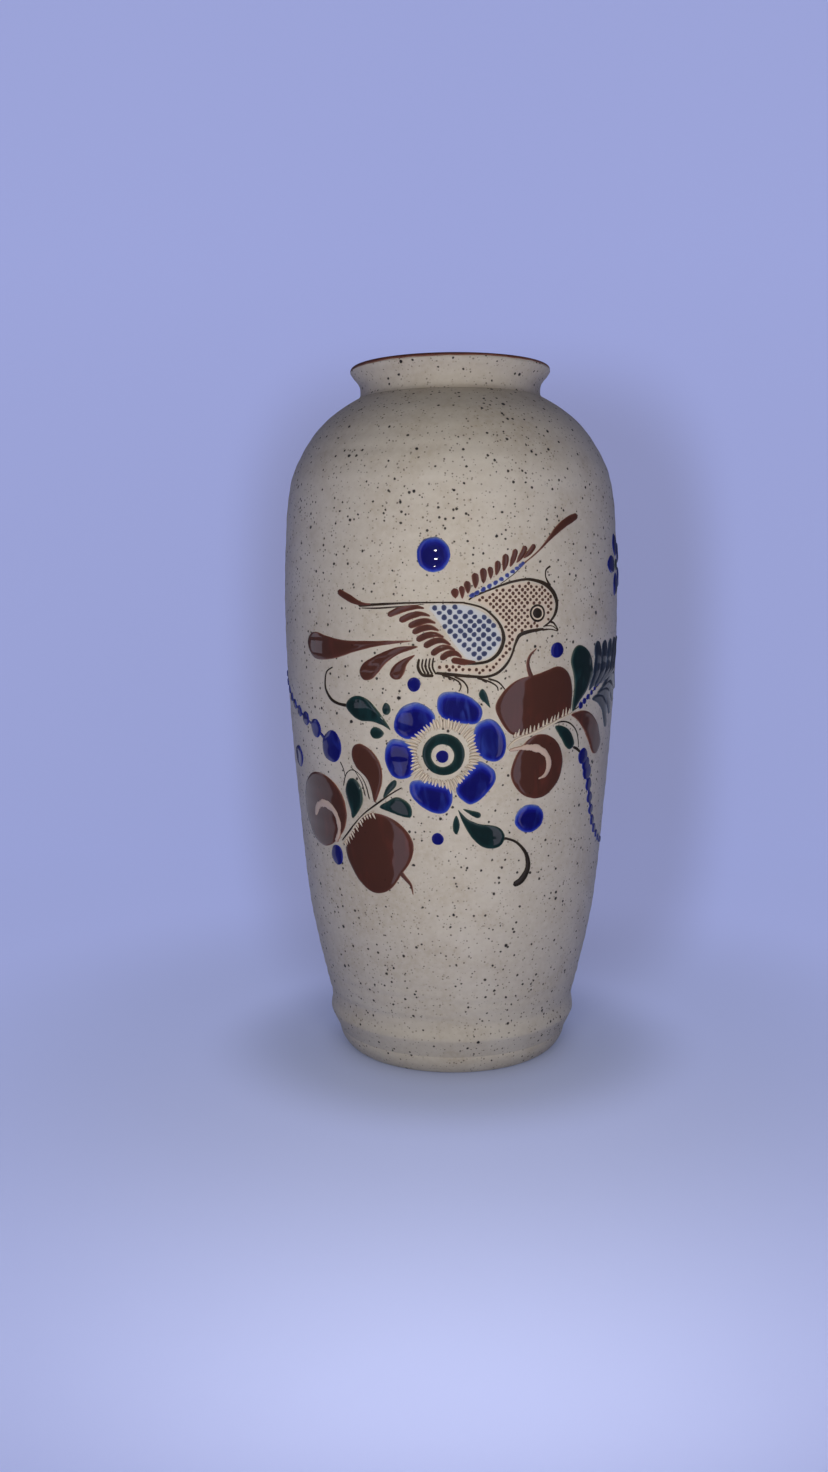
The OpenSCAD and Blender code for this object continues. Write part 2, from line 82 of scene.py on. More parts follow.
# ------------------------------------------------------------ the pot's wall
WALL = spline_open([
    (45.6, 12.5), (46.05, 13.5), (46.45, 14.5), (46.4, 16), (46.1, 18), (46.0, 20), (46.4, 22.4),
    (47.1, 25), (48.8, 32), (51.1, 42), (53.8, 56), (55.7, 72), (57.3, 90),
    (58.9, 108), (60.2, 126), (61.2, 144), (61.7, 162), (61.6, 178),
    (61, 192), (60.2, 204), (58.4, 214), (55, 222), (50.6, 229),
    (46.2, 234), (42, 237.5), (38, 240.2), (34, 242.5)], 10)


def ripple(z, phi):
    """Throwing rings and a slight unevenness, in mm, fading out at the ends of the wall."""
    z = np.asarray(z, float)
    fade = np.clip((z - 14.5) / 7, 0, 1) * np.clip((241 - z) / 10, 0, 1)
    w = 0.05 * np.sin(z * 1.05 + 0.7 * np.sin(z * 0.11) + phi) + 0.035 * np.sin(z * 0.43 + 1.3 + 0.5 * phi)
    w = w + 0.05 * np.sin(2 * phi + 0.02 * z + 0.4) + 0.03 * np.sin(3 * phi - 0.035 * z)
    low = 0.10 * np.exp(-((z - 28) / 12) ** 2) * np.sin(z * 1.5 + 0.6 * phi)
    return fade * (w + low)


def wall_r(z, phi=0.0):
    return np.interp(z, WALL[:, 1], WALL[:, 0]) + ripple(z, phi)


def wall_slope(z):
    return (np.interp(np.asarray(z) + 1.5, WALL[:, 1], WALL[:, 0]) - np.interp(np.asarray(z) - 1.5, WALL[:, 1], WALL[:, 0])) / 3.0


def on_wall(sz, h):
    """Points at wall positions (s, z) in mm, h mm off the wall, in metres."""
    s, z = sz[:, 0], sz[:, 1]
    phi = s / UNIT
    m = wall_slope(z)
    k = 1 / np.sqrt(1 + m * m)
    r = wall_r(z, phi) + h * k
    zz = z - h * m * k
    return np.c_[r * np.sin(phi), -r * np.cos(phi), zz] * MM


# ----------------------------------------------------------------- materials
def srgb(r, g, b):
    return tuple(((c / 255) / 12.92 if c <= 10 else (((c / 255) + 0.055) / 1.055) ** 2.4) for c in (r, g, b)) + (1,)


def new_mat(name):
    m = bpy.data.materials.new(name)
    m.use_nodes = True
    nt = m.node_tree
    for n in list(nt.nodes):
        nt.nodes.remove(n)
    out = nt.nodes.new("ShaderNodeOutputMaterial")
    b = nt.nodes.new("ShaderNodeBsdfPrincipled")
    nt.links.new(b.outputs[0], out.inputs[0])
    return m, nt, b


def N(nt, kind, **kw):
    n = nt.nodes.new(kind)
    for k, v in kw.items():
        if k in ("inputs",):
            for i, val in v.items():
                n.inputs[i].default_value = val
        else:
            setattr(n, k, v)
    return n


def ramp(nt, fac, stops, interp="LINEAR"):
    r = nt.nodes.new("ShaderNodeValToRGB")
    r.color_ramp.interpolation = interp
    el = r.color_ramp.elements
    while len(el) > 1:
        el.remove(el[-1])
    el[0].position = stops[0][0]
    el[0].color = stops[0][1]
    for p, c in stops[1:]:
        e = el.new(p)
        e.color = c
    if fac is not None:
        nt.links.new(fac, r.inputs[0])
    return r.outputs[0]


def mix(nt, fac, a, b, mode="MIX"):
    n = nt.nodes.new("ShaderNodeMix")
    n.data_type = "RGBA"
    n.blend_type = mode
    n.clamp_factor = True
    for sock, v in ((n.inputs[0], fac), (n.inputs[6], a), (n.inputs[7], b)):
        if hasattr(v, "is_output") or isinstance(v, bpy.types.NodeSocket):
            nt.links.new(v, sock)
        else:
            sock.default_value = v
    return n.outputs[2]


def math_node(nt, op, a, b=None, c=None, clamp=False):
    n = nt.nodes.new("ShaderNodeMath")
    n.operation = op
    n.use_clamp = clamp
    for i, v in enumerate((a, b, c)):
        if v is None:
            continue
        if isinstance(v, bpy.types.NodeSocket):
            nt.links.new(v, n.inputs[i])
        else:
            n.inputs[i].default_value = v
    return n.outputs[0]


def noise(nt, vec, scale, detail=3, rough=0.55, dist=0.0):
    n = nt.nodes.new("ShaderNodeTexNoise")
    n.inputs["Scale"].default_value = scale
    n.inputs["Detail"].default_value = detail
    n.inputs["Roughness"].default_value = rough
    n.inputs["Distortion"].default_value = dist
    nt.links.new(vec, n.inputs["Vector"])
    return n


def coords(nt):
    return nt.nodes.new("ShaderNodeTexCoord").outputs["Object"]


def specks(nt, vec, scale, size, share, soft=0.12, warp=0.0):
    """Iron specks: one per cell of a Voronoi pattern, with a share of the cells left out.
    size is the largest radius as a part of the cell. Returns 0..1, 1 inside a speck."""
    if warp:
        w = noise(nt, vec, scale * 2.2, 2, 0.6)
        d = nt.nodes.new("ShaderNodeVectorMath"); d.operation = "MULTIPLY_ADD"
        nt.links.new(w.outputs["Color"], d.inputs[0])
        d.inputs[1].default_value = (warp, warp, warp)
        nt.links.new(vec, d.inputs[2])
        vec = d.outputs[0]
    v = nt.nodes.new("ShaderNodeTexVoronoi")
    v.inputs["Scale"].default_value = scale
    nt.links.new(vec, v.inputs["Vector"])
    sep = nt.nodes.new("ShaderNodeSeparateColor")
    nt.links.new(v.outputs["Color"], sep.inputs[0])
    keep = math_node(nt, "LESS_THAN", sep.outputs[0], share)
    rad = math_node(nt, "MULTIPLY_ADD", sep.outputs[1], size * 0.75, size * 0.25)
    rad = math_node(nt, "MULTIPLY", rad, keep)
    d = math_node(nt, "SUBTRACT", rad, v.outputs["Distance"])
    d = math_node(nt, "DIVIDE", d, size * soft + 1e-4, clamp=True)
    return math_node(nt, "MULTIPLY", d, keep, clamp=True)


def clay_material(name="stoneware_look", inside=False, foot=False):
    m, nt, b = new_mat(name)
    vec = coords(nt)
    big = noise(nt, vec, 16, 4, 0.6, 0.4)
    mid = noise(nt, vec, 75, 4, 0.6)
    fine = noise(nt, vec, 520, 3, 0.6)
    base = mix(nt, ramp(nt, big.outputs[0], [(0.36, (0, 0, 0, 1)), (0.66, (1, 1, 1, 1))]),
               srgb(186, 174, 153), srgb(200, 190, 172))
    base = mix(nt, ramp(nt, mid.outputs[0], [(0.46, (0, 0, 0, 1)), (0.78, (1, 1, 1, 1))]), base, srgb(178, 164, 142))
    base = mix(nt, ramp(nt, fine.outputs[0], [(0.35, (0, 0, 0, 1)), (0.7, (0.5, 0.5, 0.5, 1))]), base, srgb(205, 196, 179))
    # warm iron freckles, then dark specks at three sizes, thicker in drifts
    dens = ramp(nt, noise(nt, vec, 30, 3, 0.6).outputs[0], [(0.36, (0.3, 0.3, 0.3, 1)), (0.60, (1, 1, 1, 1))])
    fr = specks(nt, vec, 520, 0.34, 0.75, 0.9, 0.0008)
    base = mix(nt, math_node(nt, "MULTIPLY", fr, 0.34), base, srgb(132, 104, 78))
    sm = specks(nt, vec, 820, 0.38, 0.70, 0.45, 0.0003)
    sm = math_node(nt, "MULTIPLY", sm, dens)
    base = mix(nt, math_node(nt, "MULTIPLY", sm, 0.85), base, srgb(74, 60, 50))
    md = specks(nt, vec, 450, 0.28, 0.85, 0.30, 0.0005)
    base = mix(nt, math_node(nt, "MULTIPLY", md, 0.96), base, srgb(46, 37, 32))
    halo = specks(nt, vec, 225, 0.26, 0.52, 1.0, 0.0008)
    base = mix(nt, math_node(nt, "MULTIPLY", halo, 0.3), base, srgb(136, 108, 80))
    lg = specks(nt, vec, 225, 0.17, 0.52, 0.25, 0.0008)
    base = mix(nt, lg, base, srgb(33, 27, 25))
    nt.links.new(base, b.inputs["Base Color"])
    rgh = math_node(nt, "MULTIPLY_ADD", fine.outputs[0], 0.16, 0.66)
    rgh = math_node(nt, "SUBTRACT", rgh, math_node(nt, "MULTIPLY", lg, 0.3))
    nt.links.new(rgh, b.inputs["Roughness"])
    b.inputs["Specular IOR Level"].default_value = 0.32
    bump = nt.nodes.new("ShaderNodeBump")
    bump.inputs["Strength"].default_value = 0.35
    bump.inputs["Distance"].default_value = 0.00012
    hgt = math_node(nt, "ADD", math_node(nt, "MULTIPLY", fine.outputs[0], 0.8), math_node(nt, "MULTIPLY", mid.outputs[0], 1.4))
    hgt = math_node(nt, "SUBTRACT", hgt, math_node(nt, "MULTIPLY", md, 0.5))
    nt.links.new(hgt, bump.inputs["Height"])
    nt.links.new(bump.outputs[0], b.inputs["Normal"])
    return m


def edge_attr(nt, scale):
    a = nt.nodes.new("ShaderNodeAttribute")
    a.attribute_name = "edge"
    return math_node(nt, "MULTIPLY", a.outputs["Fac"], 1.0 / scale, clamp=True)


def enamel_material(name, stops, scale, streak, streak_amt=0.4, rough=0.4, spec=0.08, coat=1.0, speck=0.0, mottle=60):
    """A fired enamel: its colour deepens from its thin edge inwards (edge attribute, in mm),
    with brush streaks and pooling from stretched noise."""
    m, nt, b = new_mat(name)
    vec = coords(nt)
    e = edge_attr(nt, scale)
    n1 = noise(nt, vec, mottle * 4, 3, 0.6, 0.5)
    e2 = math_node(nt, "ADD", e, math_node(nt, "MULTIPLY_ADD", n1.outputs[0], 0.30, -0.15), clamp=True)
    col = ramp(nt, e2, stops)
    mp = nt.nodes.new("ShaderNodeMapping")
    mp.inputs["Rotation"].default_value = (0.3, 0.6, 0.5)
    mp.inputs["Scale"].default_value = (1.0, 1.0, 0.28)
    nt.links.new(vec, mp.inputs[0])
    n2 = noise(nt, mp.outputs[0], mottle * 5, 2, 0.5, 0.8)
    n3 = noise(nt, vec, mottle, 2, 0.5)
    s = math_node(nt, "MULTIPLY", ramp(nt, n2.outputs[0], [(0.48, (0, 0, 0, 1)), (0.72, (1, 1, 1, 1))]),
                  ramp(nt, n3.outputs[0], [(0.40, (0, 0, 0, 1)), (0.62, (1, 1, 1, 1))]))
    col = mix(nt, math_node(nt, "MULTIPLY", s, streak_amt), col, streak)
    if speck:
        sp = specks(nt, vec, 300, 0.22, 0.3, 0.4, 0.001)
        col = mix(nt, math_node(nt, "MULTIPLY", sp, speck), col, srgb(24, 12, 10))
    nt.links.new(col, b.inputs["Base Color"])
    b.inputs["Roughness"].default_value = rough
    b.inputs["Specular IOR Level"].default_value = spec
    b.inputs["Coat Weight"].default_value = coat
    b.inputs["Coat Roughness"].default_value = 0.04
    b.inputs["Coat IOR"].default_value = 1.5
    bump = nt.nodes.new("ShaderNodeBump")
    bump.inputs["Strength"].default_value = 0.16
    bump.inputs["Distance"].default_value = 0.0001
    nb = noise(nt, vec, 260, 2, 0.5)
    nt.links.new(nb.outputs[0], bump.inputs["Height"])
    nt.links.new(bump.outputs[0], b.inputs["Normal"])
    nt.links.new(bump.outputs[0], b.inputs["Coat Normal"])
    return m


MAT = {}
MAT["clay"] = clay_material()
COBALT = [(0.0, srgb(126, 136, 168)), (0.10, srgb(62, 84, 162)), (0.28, srgb(32, 48, 150)), (0.55, srgb(8, 11, 114)), (1.0, srgb(4, 4, 86))]
MAT["cobalt"] = enamel_material("cobalt_look", COBALT, 2.2, srgb(46, 66, 156), 0.6)
MAT["bead"] = enamel_material("cobalt_bead_look", [(0.0, srgb(96, 106, 150)), (0.16, srgb(30, 42, 130)), (0.5, srgb(10, 13, 106)), (1.0, srgb(6, 8, 92))],
                              0.5, srgb(34, 50, 140), 0.4)
MAT["brown"] = enamel_material("brown_look", [(0.0, srgb(158, 120, 98)), (0.12, srgb(100, 58, 47)), (0.3, srgb(80, 46, 35)),
                                              (1.0, srgb(74, 42, 31))],
                               1.6, srgb(108, 50, 38), 0.45, speck=0.6)
MAT["green"] = enamel_material("green_look", [(0.0, srgb(104, 110, 94)), (0.14, srgb(40, 58, 52)), (0.4, srgb(18, 42, 40)),
                                              (1.0, srgb(13, 32, 32))],
                               1.6, srgb(28, 70, 70), 0.6)
MAT["slate"] = enamel_material("slate_look", [(0.0, srgb(118, 122, 126)), (0.14, srgb(58, 66, 78)), (0.35, srgb(32, 42, 56)),
                                              (1.0, srgb(22, 31, 46))],
                               1.6, srgb(58, 76, 96), 0.5)
MAT["line"] = enamel_material("dark_line_look", [(0.0, srgb(78, 66, 52)), (0.25, srgb(46, 38, 30)), (1.0, srgb(40, 33, 27))],
                              0.5, srgb(62, 50, 36), 0.4, coat=0.5)
MAT["brownline"] = enamel_material("brown_line_look", [(0.0, srgb(84, 70, 54)), (0.25, srgb(54, 43, 33)), (1.0, srgb(46, 37, 29))],
                                   0.5, srgb(76, 58, 42), 0.4, coat=0.5)
MAT["pale"] = enamel_material("pale_wash_look", [(0.0, srgb(196, 188, 174)), (0.3, srgb(194, 192, 186)), (1.0, srgb(190, 191, 189))],
                              1.5, srgb(176, 182, 192), 0.4, coat=0.5)
# the slip's brown edge colour is painted shade along and between its raised strokes
MAT["cream"] = enamel_material("cream_slip_painted_edge_shade_look", [(0.0, srgb(150, 128, 104)), (0.35, srgb(198, 182, 158)), (1.0, srgb(210, 196, 174))],
                               0.5, srgb(186, 168, 142), 0.3, coat=0.15)
MAT["hook"] = enamel_material("slip_hook_look", [(0.0, srgb(140, 104, 86)), (0.35, srgb(186, 160, 140)), (1.0, srgb(194, 170, 150))],
                               0.6, srgb(172, 144, 124), 0.4, coat=0.3)
MAT["bluedot"] = enamel_material("blue_grey_dot_look", [(0.0, srgb(122, 126, 142)), (0.3, srgb(70, 76, 102)), (1.0, srgb(52, 57, 84))],
                                 0.6, srgb(84, 92, 130), 0.4, coat=0.6)
MAT["stripdot"] = enamel_material("blue_strip_dot_look", [(0.0, srgb(120, 126, 156)), (0.3, srgb(62, 72, 130)), (1.0, srgb(44, 54, 118))],
                                  0.6, srgb(92, 104, 160), 0.5, coat=0.6)
MAT["browndot"] = enamel_material("brown_dot_look", [(0.0, srgb(128, 98, 78)), (0.3, srgb(86, 60, 48)), (1.0, srgb(72, 47, 38))],
                                  0.5, srgb(112, 78, 60), 0.4, coat=0.5)
MAT["tan"] = enamel_material("tan_wash_look", [(0.0, srgb(196, 184, 164)), (0.5, srgb(198, 182, 161)), (1.0, srgb(198, 180, 158))],
                             0.8, srgb(206, 192, 172), 0.5, coat=0.3)
MAT["wash"] = enamel_material("iron_wash_look", [(0.0, srgb(156, 128, 104)), (0.25, srgb(126, 84, 68)), (0.6, srgb(108, 66, 54)), (1.0, srgb(98, 58, 48))],
                              0.8, srgb(80, 50, 42), 0.6, coat=0.15, speck=0.5)


def liner_material():
    m, nt, b = new_mat("liner_look")
    vec = coords(nt)
    n = noise(nt, vec, 40, 4, 0.6, 0.3)
    col = mix(nt, n.outputs[0], srgb(196, 182, 160), srgb(214, 203, 184))
    sp = specks(nt, vec, 205, 0.2, 0.4, 0.3, 0.001)
    col = mix(nt, math_node(nt, "MULTIPLY", sp, 0.8), col, srgb(70, 56, 44))
    nt.links.new(col, b.inputs["Base Color"])
    b.inputs["Roughness"].default_value = 0.22
    b.inputs["Specular IOR Level"].default_value = 0.5
    b.inputs["Coat Weight"].default_value = 0.5
    b.inputs["Coat Roughness"].default_value = 0.08
    return m


MAT["liner"] = liner_material()


# -------------------------------------------------------------- mesh builders
def make_object(name, verts, faces, mat, edge=None, smooth=True):
    me = bpy.data.meshes.new(name)
    me.from_pydata([tuple(v) for v in verts], [], [tuple(int(i) for i in f) for f in faces])
    me.update()
    if edge is not None:
        a = me.attributes.new("edge", "FLOAT", "POINT")
        a.data.foreach_set("value", np.asarray(edge, np.float32))
    for p in me.polygons:
        p.use_smooth = smooth
    o = bpy.data.objects.new(name, me)
    bpy.context.scene.collection.objects.link(o)
    me.materials.append(mat)
    return o


def finish_piece(o, slot, *nodes):
    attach(o, "root")
    if nodes:
        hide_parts(*nodes)
    return o


class Batch:
    """Collects small closed relief shapes that share one material into one mesh."""

    def __init__(self):
        self.v, self.f, self.e, self.n = [], [], [], 0

    def add(self, verts, faces, edge):
        self.v.append(verts)
        self.f.extend([tuple(i + self.n for i in f) for f in faces])
        self.e.append(edge)
        self.n += len(verts)

    def build(self, name, mat):
        return make_object(name, np.vstack(self.v), self.f, mat, np.concatenate(self.e))


def seg_dist(p, poly):
    a = poly
    b = np.roll(poly, -1, axis=0)
    ab = b - a
    ap = p[:, None, :] - a[None]
    t = np.clip((ap * ab).sum(2) / np.maximum((ab * ab).sum(1), 1e-12), 0, 1)
    d = ap - t[..., None] * ab
    return np.sqrt((d * d).sum(2)).min(1)


def inside(p, poly):
    x, y = p[:, 0], p[:, 1]
    c = np.zeros(len(p), bool)
    xj, yj = poly[-1]
    for xi, yi in poly:
        k = (yi > y) != (yj > y)
        with np.errstate(divide="ignore", invalid="ignore"):
            c ^= k & (x < (xj - xi) * (y - yi) / (yj - yi) + xi)
        xj, yj = xi, yi
    return c


def lumps(p, seed, size):
    """Low smooth unevenness of a poured coat, about -1..1."""
    r = np.random.default_rng(seed)
    out = np.zeros(len(p))
    for _ in range(5):
        k = r.normal(size=2) / size
        out += np.sin(p @ k * 2 + r.uniform(0, 6.28)) / 5
    return out


def patch(batch, outer, H, w, step=0.8, holes=(), seed=1, wobble=0.12, lump=0.16, base=0.0, thin=0.0):
    """A poured patch: outline(s) in (s, z) mm, H mm high, its edge rolling over w mm."""
    rr = np.random.default_rng(seed)
    ring = min(step, 0.7)
    loops = []
    for k, poly in enumerate([outer, *holes]):
        q = resample(np.asarray(poly, float), ring, True)
        d = np.roll(q, -1, 0) - np.roll(q, 1, 0)
        nrm = np.c_[d[:, 1], -d[:, 0]] / np.maximum(np.hypot(*d.T)[:, None], 1e-9)
        t = np.linspace(0, 2 * np.pi, len(q), endpoint=False)
        a = sum(np.sin(t * f + rr.uniform(0, 6.28)) / f ** 0.5 for f in (5, 8, 13, 21)) * wobble * 0.35
        loops.append(q + nrm * a[:, None])
    pts = [np.vstack(loops)]
    edges, k = [], 0
    for q in loops:
        edges += [(k + i, k + (i + 1) % len(q)) for i in range(len(q))]
        k += len(q)

    def dist(p):
        return np.min([seg_dist(p, q) for q in loops], axis=0)

    def within(p):
        ok = inside(p, loops[0])
        for q in loops[1:]:
            ok &= ~inside(p, q)
        return ok
    for dd in (w * 0.16, w * 0.45, w * 0.95):
        for q in loops:
            dv = np.roll(q, -1, 0) - np.roll(q, 1, 0)
            nrm = np.c_[dv[:, 1], -dv[:, 0]] / np.maximum(np.hypot(*dv.T)[:, None], 1e-9)
            for sgn in (1, -1):
                c = q + nrm * dd * sgn
                ok = within(c)
                c = c[ok]
                if len(c):
                    c = c[dist(c) > dd * 0.93]
                if len(c):
                    pts.append(c)
    lo, hi = loops[0].min(0), loops[0].max(0)
    gx = np.arange(lo[0], hi[0], step)
    gy = np.arange(lo[1], hi[1], step * 0.866)
    g = np.array([(x + (step / 2 if j % 2 else 0), y) for j, y in enumerate(gy) for x in gx])
    if len(g):
        g = g[within(g)]
    if len(g):
        g = g[dist(g) > w * 0.95 + step * 0.45]
        pts.append(g)
    allp = np.vstack(pts)
    vo, _, fo, _, _, _ = delaunay_2d_cdt([Vector(p) for p in allp], edges, [], 0, 1e-5)
    vo = np.array([tuple(v) for v in vo])
    fo = np.array([tuple(f) for f in fo if len(f) == 3])
    fo = fo[within(vo[fo].mean(1))]
    # turn faces that run clockwise, then keep only the points the faces use
    a, b, c = vo[fo[:, 0]], vo[fo[:, 1]], vo[fo[:, 2]]
    area = (b[:, 0] - a[:, 0]) * (c[:, 1] - a[:, 1]) - (c[:, 0] - a[:, 0]) * (b[:, 1] - a[:, 1])
    fo[area < 0] = fo[area < 0][:, ::-1]
    used = np.unique(fo)
    re = -np.ones(len(vo), int)
    re[used] = np.arange(len(used))
    vo, fo = vo[used], re[fo]
    d = dist(vo)
    d[d < 1e-4] = 0
    t = np.clip(d / w, 0, 1)
    h = H * np.sqrt(np.maximum(0, 1 - (1 - t) ** 2)) * (1 + lump * lumps(vo, seed, 5.0) * t) - 0.03 + base
    n = len(vo)
    ec = {}
    for f in fo:
        for i in range(3):
            e = (int(f[i]), int(f[(i + 1) % 3]))
            ec[e] = ec.get(e, 0) + 1
    rim = [e for e in ec if (e[1], e[0]) not in ec]
    top = on_wall(vo, h)
    bot = on_wall(vo, np.full(n, -0.35))
    faces = [tuple(f) for f in fo]
    faces += [(f[2] + n, f[1] + n, f[0] + n) for f in fo]
    faces += [(b_, a_, a_ + n, b_ + n) for a_, b_ in rim]
    used_bot = np.unique([i for f in faces for i in f])
    re = -np.ones(2 * n, int)
    re[used_bot] = np.arange(len(used_bot))
    # a poured enamel is thinner, and so paler, towards its upper side
    zc, zh = (lo[1] + hi[1]) / 2, (hi[1] - lo[1]) / 2
    up_ = np.clip((vo[:, 1] - zc) / zh + 0.25 * lumps(vo, seed + 3, 4.0) + 0.1, 0, 1)
    tone = d * (1 - thin * up_)
    batch.add(np.vstack([top, bot])[used_bot], [tuple(int(re[i]) for i in f) for f in faces], np.r_[tone, d * 0][used_bot])


def trail(batch, pts, widths, H, rows=4, n=8, base=0.0, step=0.5, jitter=0.03, seed=0, raw=False):
    """A brushed or trailed stroke: a rounded ridge along the spline through pts,
    widths given at equal fractions of its length."""
    c = np.asarray(pts, float) if raw else spline_open(pts, n)
    c = resample(c, step, False)
    m = len(c)
    u = np.linspace(0, 1, m)
    w = np.interp(u, np.linspace(0, 1, len(widths)), widths) / 2
    # ease the piecewise-linear width so that it has no corners
    k = max(1, m // 14)
    if m > 8:
        ker = np.ones(2 * k + 1) / (2 * k + 1)
        w = np.convolve(np.pad(w, k, mode="edge"), ker, mode="valid")
    r = np.random.default_rng(seed + m)
    w = w * (1 + jitter * np.convolve(np.pad(r.normal(size=m), 2, mode="edge"), np.ones(5) / 2.2, mode="valid"))
    # round both ends
    s = np.r_[0, np.cumsum(np.hypot(*np.diff(c, axis=0).T))]
    for dist_end, wend in ((s, w[min(2, m - 1)]), (s[-1] - s, w[max(m - 3, 0)])):
        q = np.clip(dist_end / max(wend, 1e-3), 0, 1)
        w = w * np.sqrt(np.maximum(0.02, 1 - (1 - q) ** 2))
    d = np.gradient(c, axis=0)
    d /= np.maximum(np.hypot(*d.T)[:, None], 1e-9)
    nrm = np.c_[-d[:, 1], d[:, 0]]
    cols = 2 * rows + 1
    x = np.sin(np.linspace(-np.pi / 2, np.pi / 2, cols))
    P, h, e = [], [], []
    for j in range(cols):
        P.append(c + nrm * (w * x[j])[:, None])
        wid = np.minimum(w * 2, 1.6) / 1.6
        hh = H * (0.35 + 0.65 * wid)
        h.append(hh * math.sqrt(max(0, 1 - x[j] ** 2)) - 0.03 + base)
        e.append(w * (1 - abs(x[j])))
    P = np.array(P)
    h = np.array(h)
    e = np.array(e)
    top = on_wall(P.reshape(-1, 2), h.reshape(-1))
    lowp = np.array([P[0], P[-1]]).reshape(-1, 2)
    bot = on_wall(lowp, np.full(len(lowp), -0.35))
    V = np.vstack([top, bot])
    E = np.r_[e.reshape(-1), np.zeros(len(bot))]
    F = []
    b0 = cols * m
    for j in range(cols - 1):
        for i in range(m - 1):
            F.append((j * m + i, j * m + i + 1, (j + 1) * m + i + 1, (j + 1) * m + i))
    F = [f[::-1] for f in F]
    for i in range(m - 1):
        F.append((i, i + 1, b0 + i + 1, b0 + i))
        F.append(((cols - 1) * m + i + 1, (cols - 1) * m + i, b0 + m + i, b0 + m + i + 1))
        F.append((b0 + i, b0 + i + 1, b0 + m + i + 1, b0 + m + i))
    # end caps
    F.append(tuple([j * m for j in range(cols)] + [b0 + m, b0]))
    F.append(tuple([j * m + m - 1 for j in range(cols - 1, -1, -1)] + [b0 + m - 1, b0 + 2 * m - 1]))
    batch.add(V, F, E)


def dome(batch, s, z, a, b, H, tilt=0.0, seg=24, rows=5, seed=0, wob=0.05, base=0.0, power=0.5):
    r = np.random.default_rng(abs(seed * 7 + int(abs(s) * 10) + int(z * 3)))
    t = np.linspace(0, 2 * np.pi, seg, endpoint=False)
    ir = 1 + wob * sum(np.sin(t * f + r.uniform(0, 6.28)) / f for f in (2, 3, 5))
    ct, st = math.cos(math.radians(tilt)), math.sin(math.radians(tilt))
    P, h, e = [], [], []
    rad = np.sin(np.linspace(np.pi / 2, 0, rows + 1))[:-1]
    mn = min(a, b)
    for q in rad:
        x, y = a * np.cos(t) * ir * q, b * np.sin(t) * ir * q
        P.append(np.c_[s + x * ct - y * st, z + x * st + y * ct])
        edge = (1 - q) * mn
        rollw = max(0.45, 0.35 * mn)
        k = min(1, edge / rollw)
        h.append(np.full(seg, (H * (0.85 * math.sqrt(max(0, 1 - (1 - k) ** 2)) + 0.15 * (1 - q * q))) - 0.03 + base))
        e.append(np.full(seg, edge))
    P.append(np.array([[s, z]]))
    h.append(np.array([H - 0.03 + base]))
    e.append(np.array([mn]))
    top = on_wall(np.vstack(P), np.concatenate(h))
    bot = on_wall(P[0], np.full(seg, -0.35))
    botc = on_wall(np.array([[s, z]]), np.array([-0.35]))
    V = np.vstack([top, bot, botc])
    E = np.r_[np.concatenate(e), np.zeros(seg + 1)]
    F = []
    nr = len(rad)
    for j in range(nr - 1):
        for i in range(seg):
            k = (i + 1) % seg
            F.append((j * seg + i, j * seg + k, (j + 1) * seg + k, (j + 1) * seg + i))
    ctop = nr * seg
    for i in range(seg):
        F.append(((nr - 1) * seg + i, (nr - 1) * seg + (i + 1) % seg, ctop))
    b0 = ctop + 1
    for i in range(seg):
        k = (i + 1) % seg
        F.append((k, i, b0 + i, b0 + k))
        F.append((b0 + k, b0 + i, b0 + seg))
    batch.add(V, F, E)


def lathe(name, prof, mat, seg=360, ripple_on=False, closed=True, edge=None):
    """Turns a closed (r, z) outline in mm about Z. Points on the axis are shared."""
    prof = np.asarray(prof, float)
    phi = np.linspace(0, 2 * np.pi, seg, endpoint=False)
    verts, index, ev = [], [], []
    for i, (r, z) in enumerate(prof):
        if r < 1e-6:
            index.append(("axis", len(verts)))
            verts.append((0, 0, z * MM))
            ev.append(edge[i] if edge is not None else 0)
        else:
            index.append(("ring", len(verts)))
            rr = r + (ripple(z, phi) if (ripple_on and ripple_on(r, z)) else 0 * phi)
            verts.extend(np.c_[rr * np.sin(phi), -rr * np.cos(phi), np.full(seg, z)] * MM)
            ev.extend([edge[i] if edge is not None else 0] * seg)
    faces = []
    n = len(prof)
    for i in range(n if closed else n - 1):
        (ka, a), (kb, b) = index[i], index[(i + 1) % n]
        if ka == "axis" and kb == "axis":
            continue
        for j in range(seg):
            k = (j + 1) % seg
            if ka == "axis":
                faces.append((a, b + k, b + j))
            elif kb == "axis":
                faces.append((a + j, a + k, b))
            else:
                faces.append((a + j, a + k, b + k, b + j))
    o = make_object(name, verts, faces, mat, ev if edge is not None else None)
    return o


def fix_normals(o):
    import bmesh
    bm = bmesh.new()
    bm.from_mesh(o.data)
    bmesh.ops.recalc_face_normals(bm, faces=bm.faces)
    bm.to_mesh(o.data)
    bm.free()


def sharp_by_angle(o, deg=38):
    me = o.data
    bpy.context.view_layer.objects.active = o
    for x in bpy.context.selected_objects:
        x.select_set(False)
    o.select_set(True)
    bpy.ops.object.shade_smooth_by_angle(angle=math.radians(deg))


# ------------------------------------------------------------------ clay parts
cavity = spline_open([(r, 20 + z) for r, z in [
    (22, 0), (34, 1.5), (39.5, 5), (42.5, 12), (45, 22), (47.6, 36),
    (51.8, 70), (54.7, 106), (56.2, 142), (56, 165), (54.8, 183),
    (52.5, 193), (48.5, 202), (42.5, 210), (36, 216), (31, 219.5)]], 4)


def thin_out(p, step):
    """Keeps the outline's points about step mm apart."""
    keep = [p[0]]
    for q in p[1:-1]:
        if np.hypot(*(q - keep[-1])) >= step:
            keep.append(q)
    keep.append(p[-1])
    return np.array(keep)


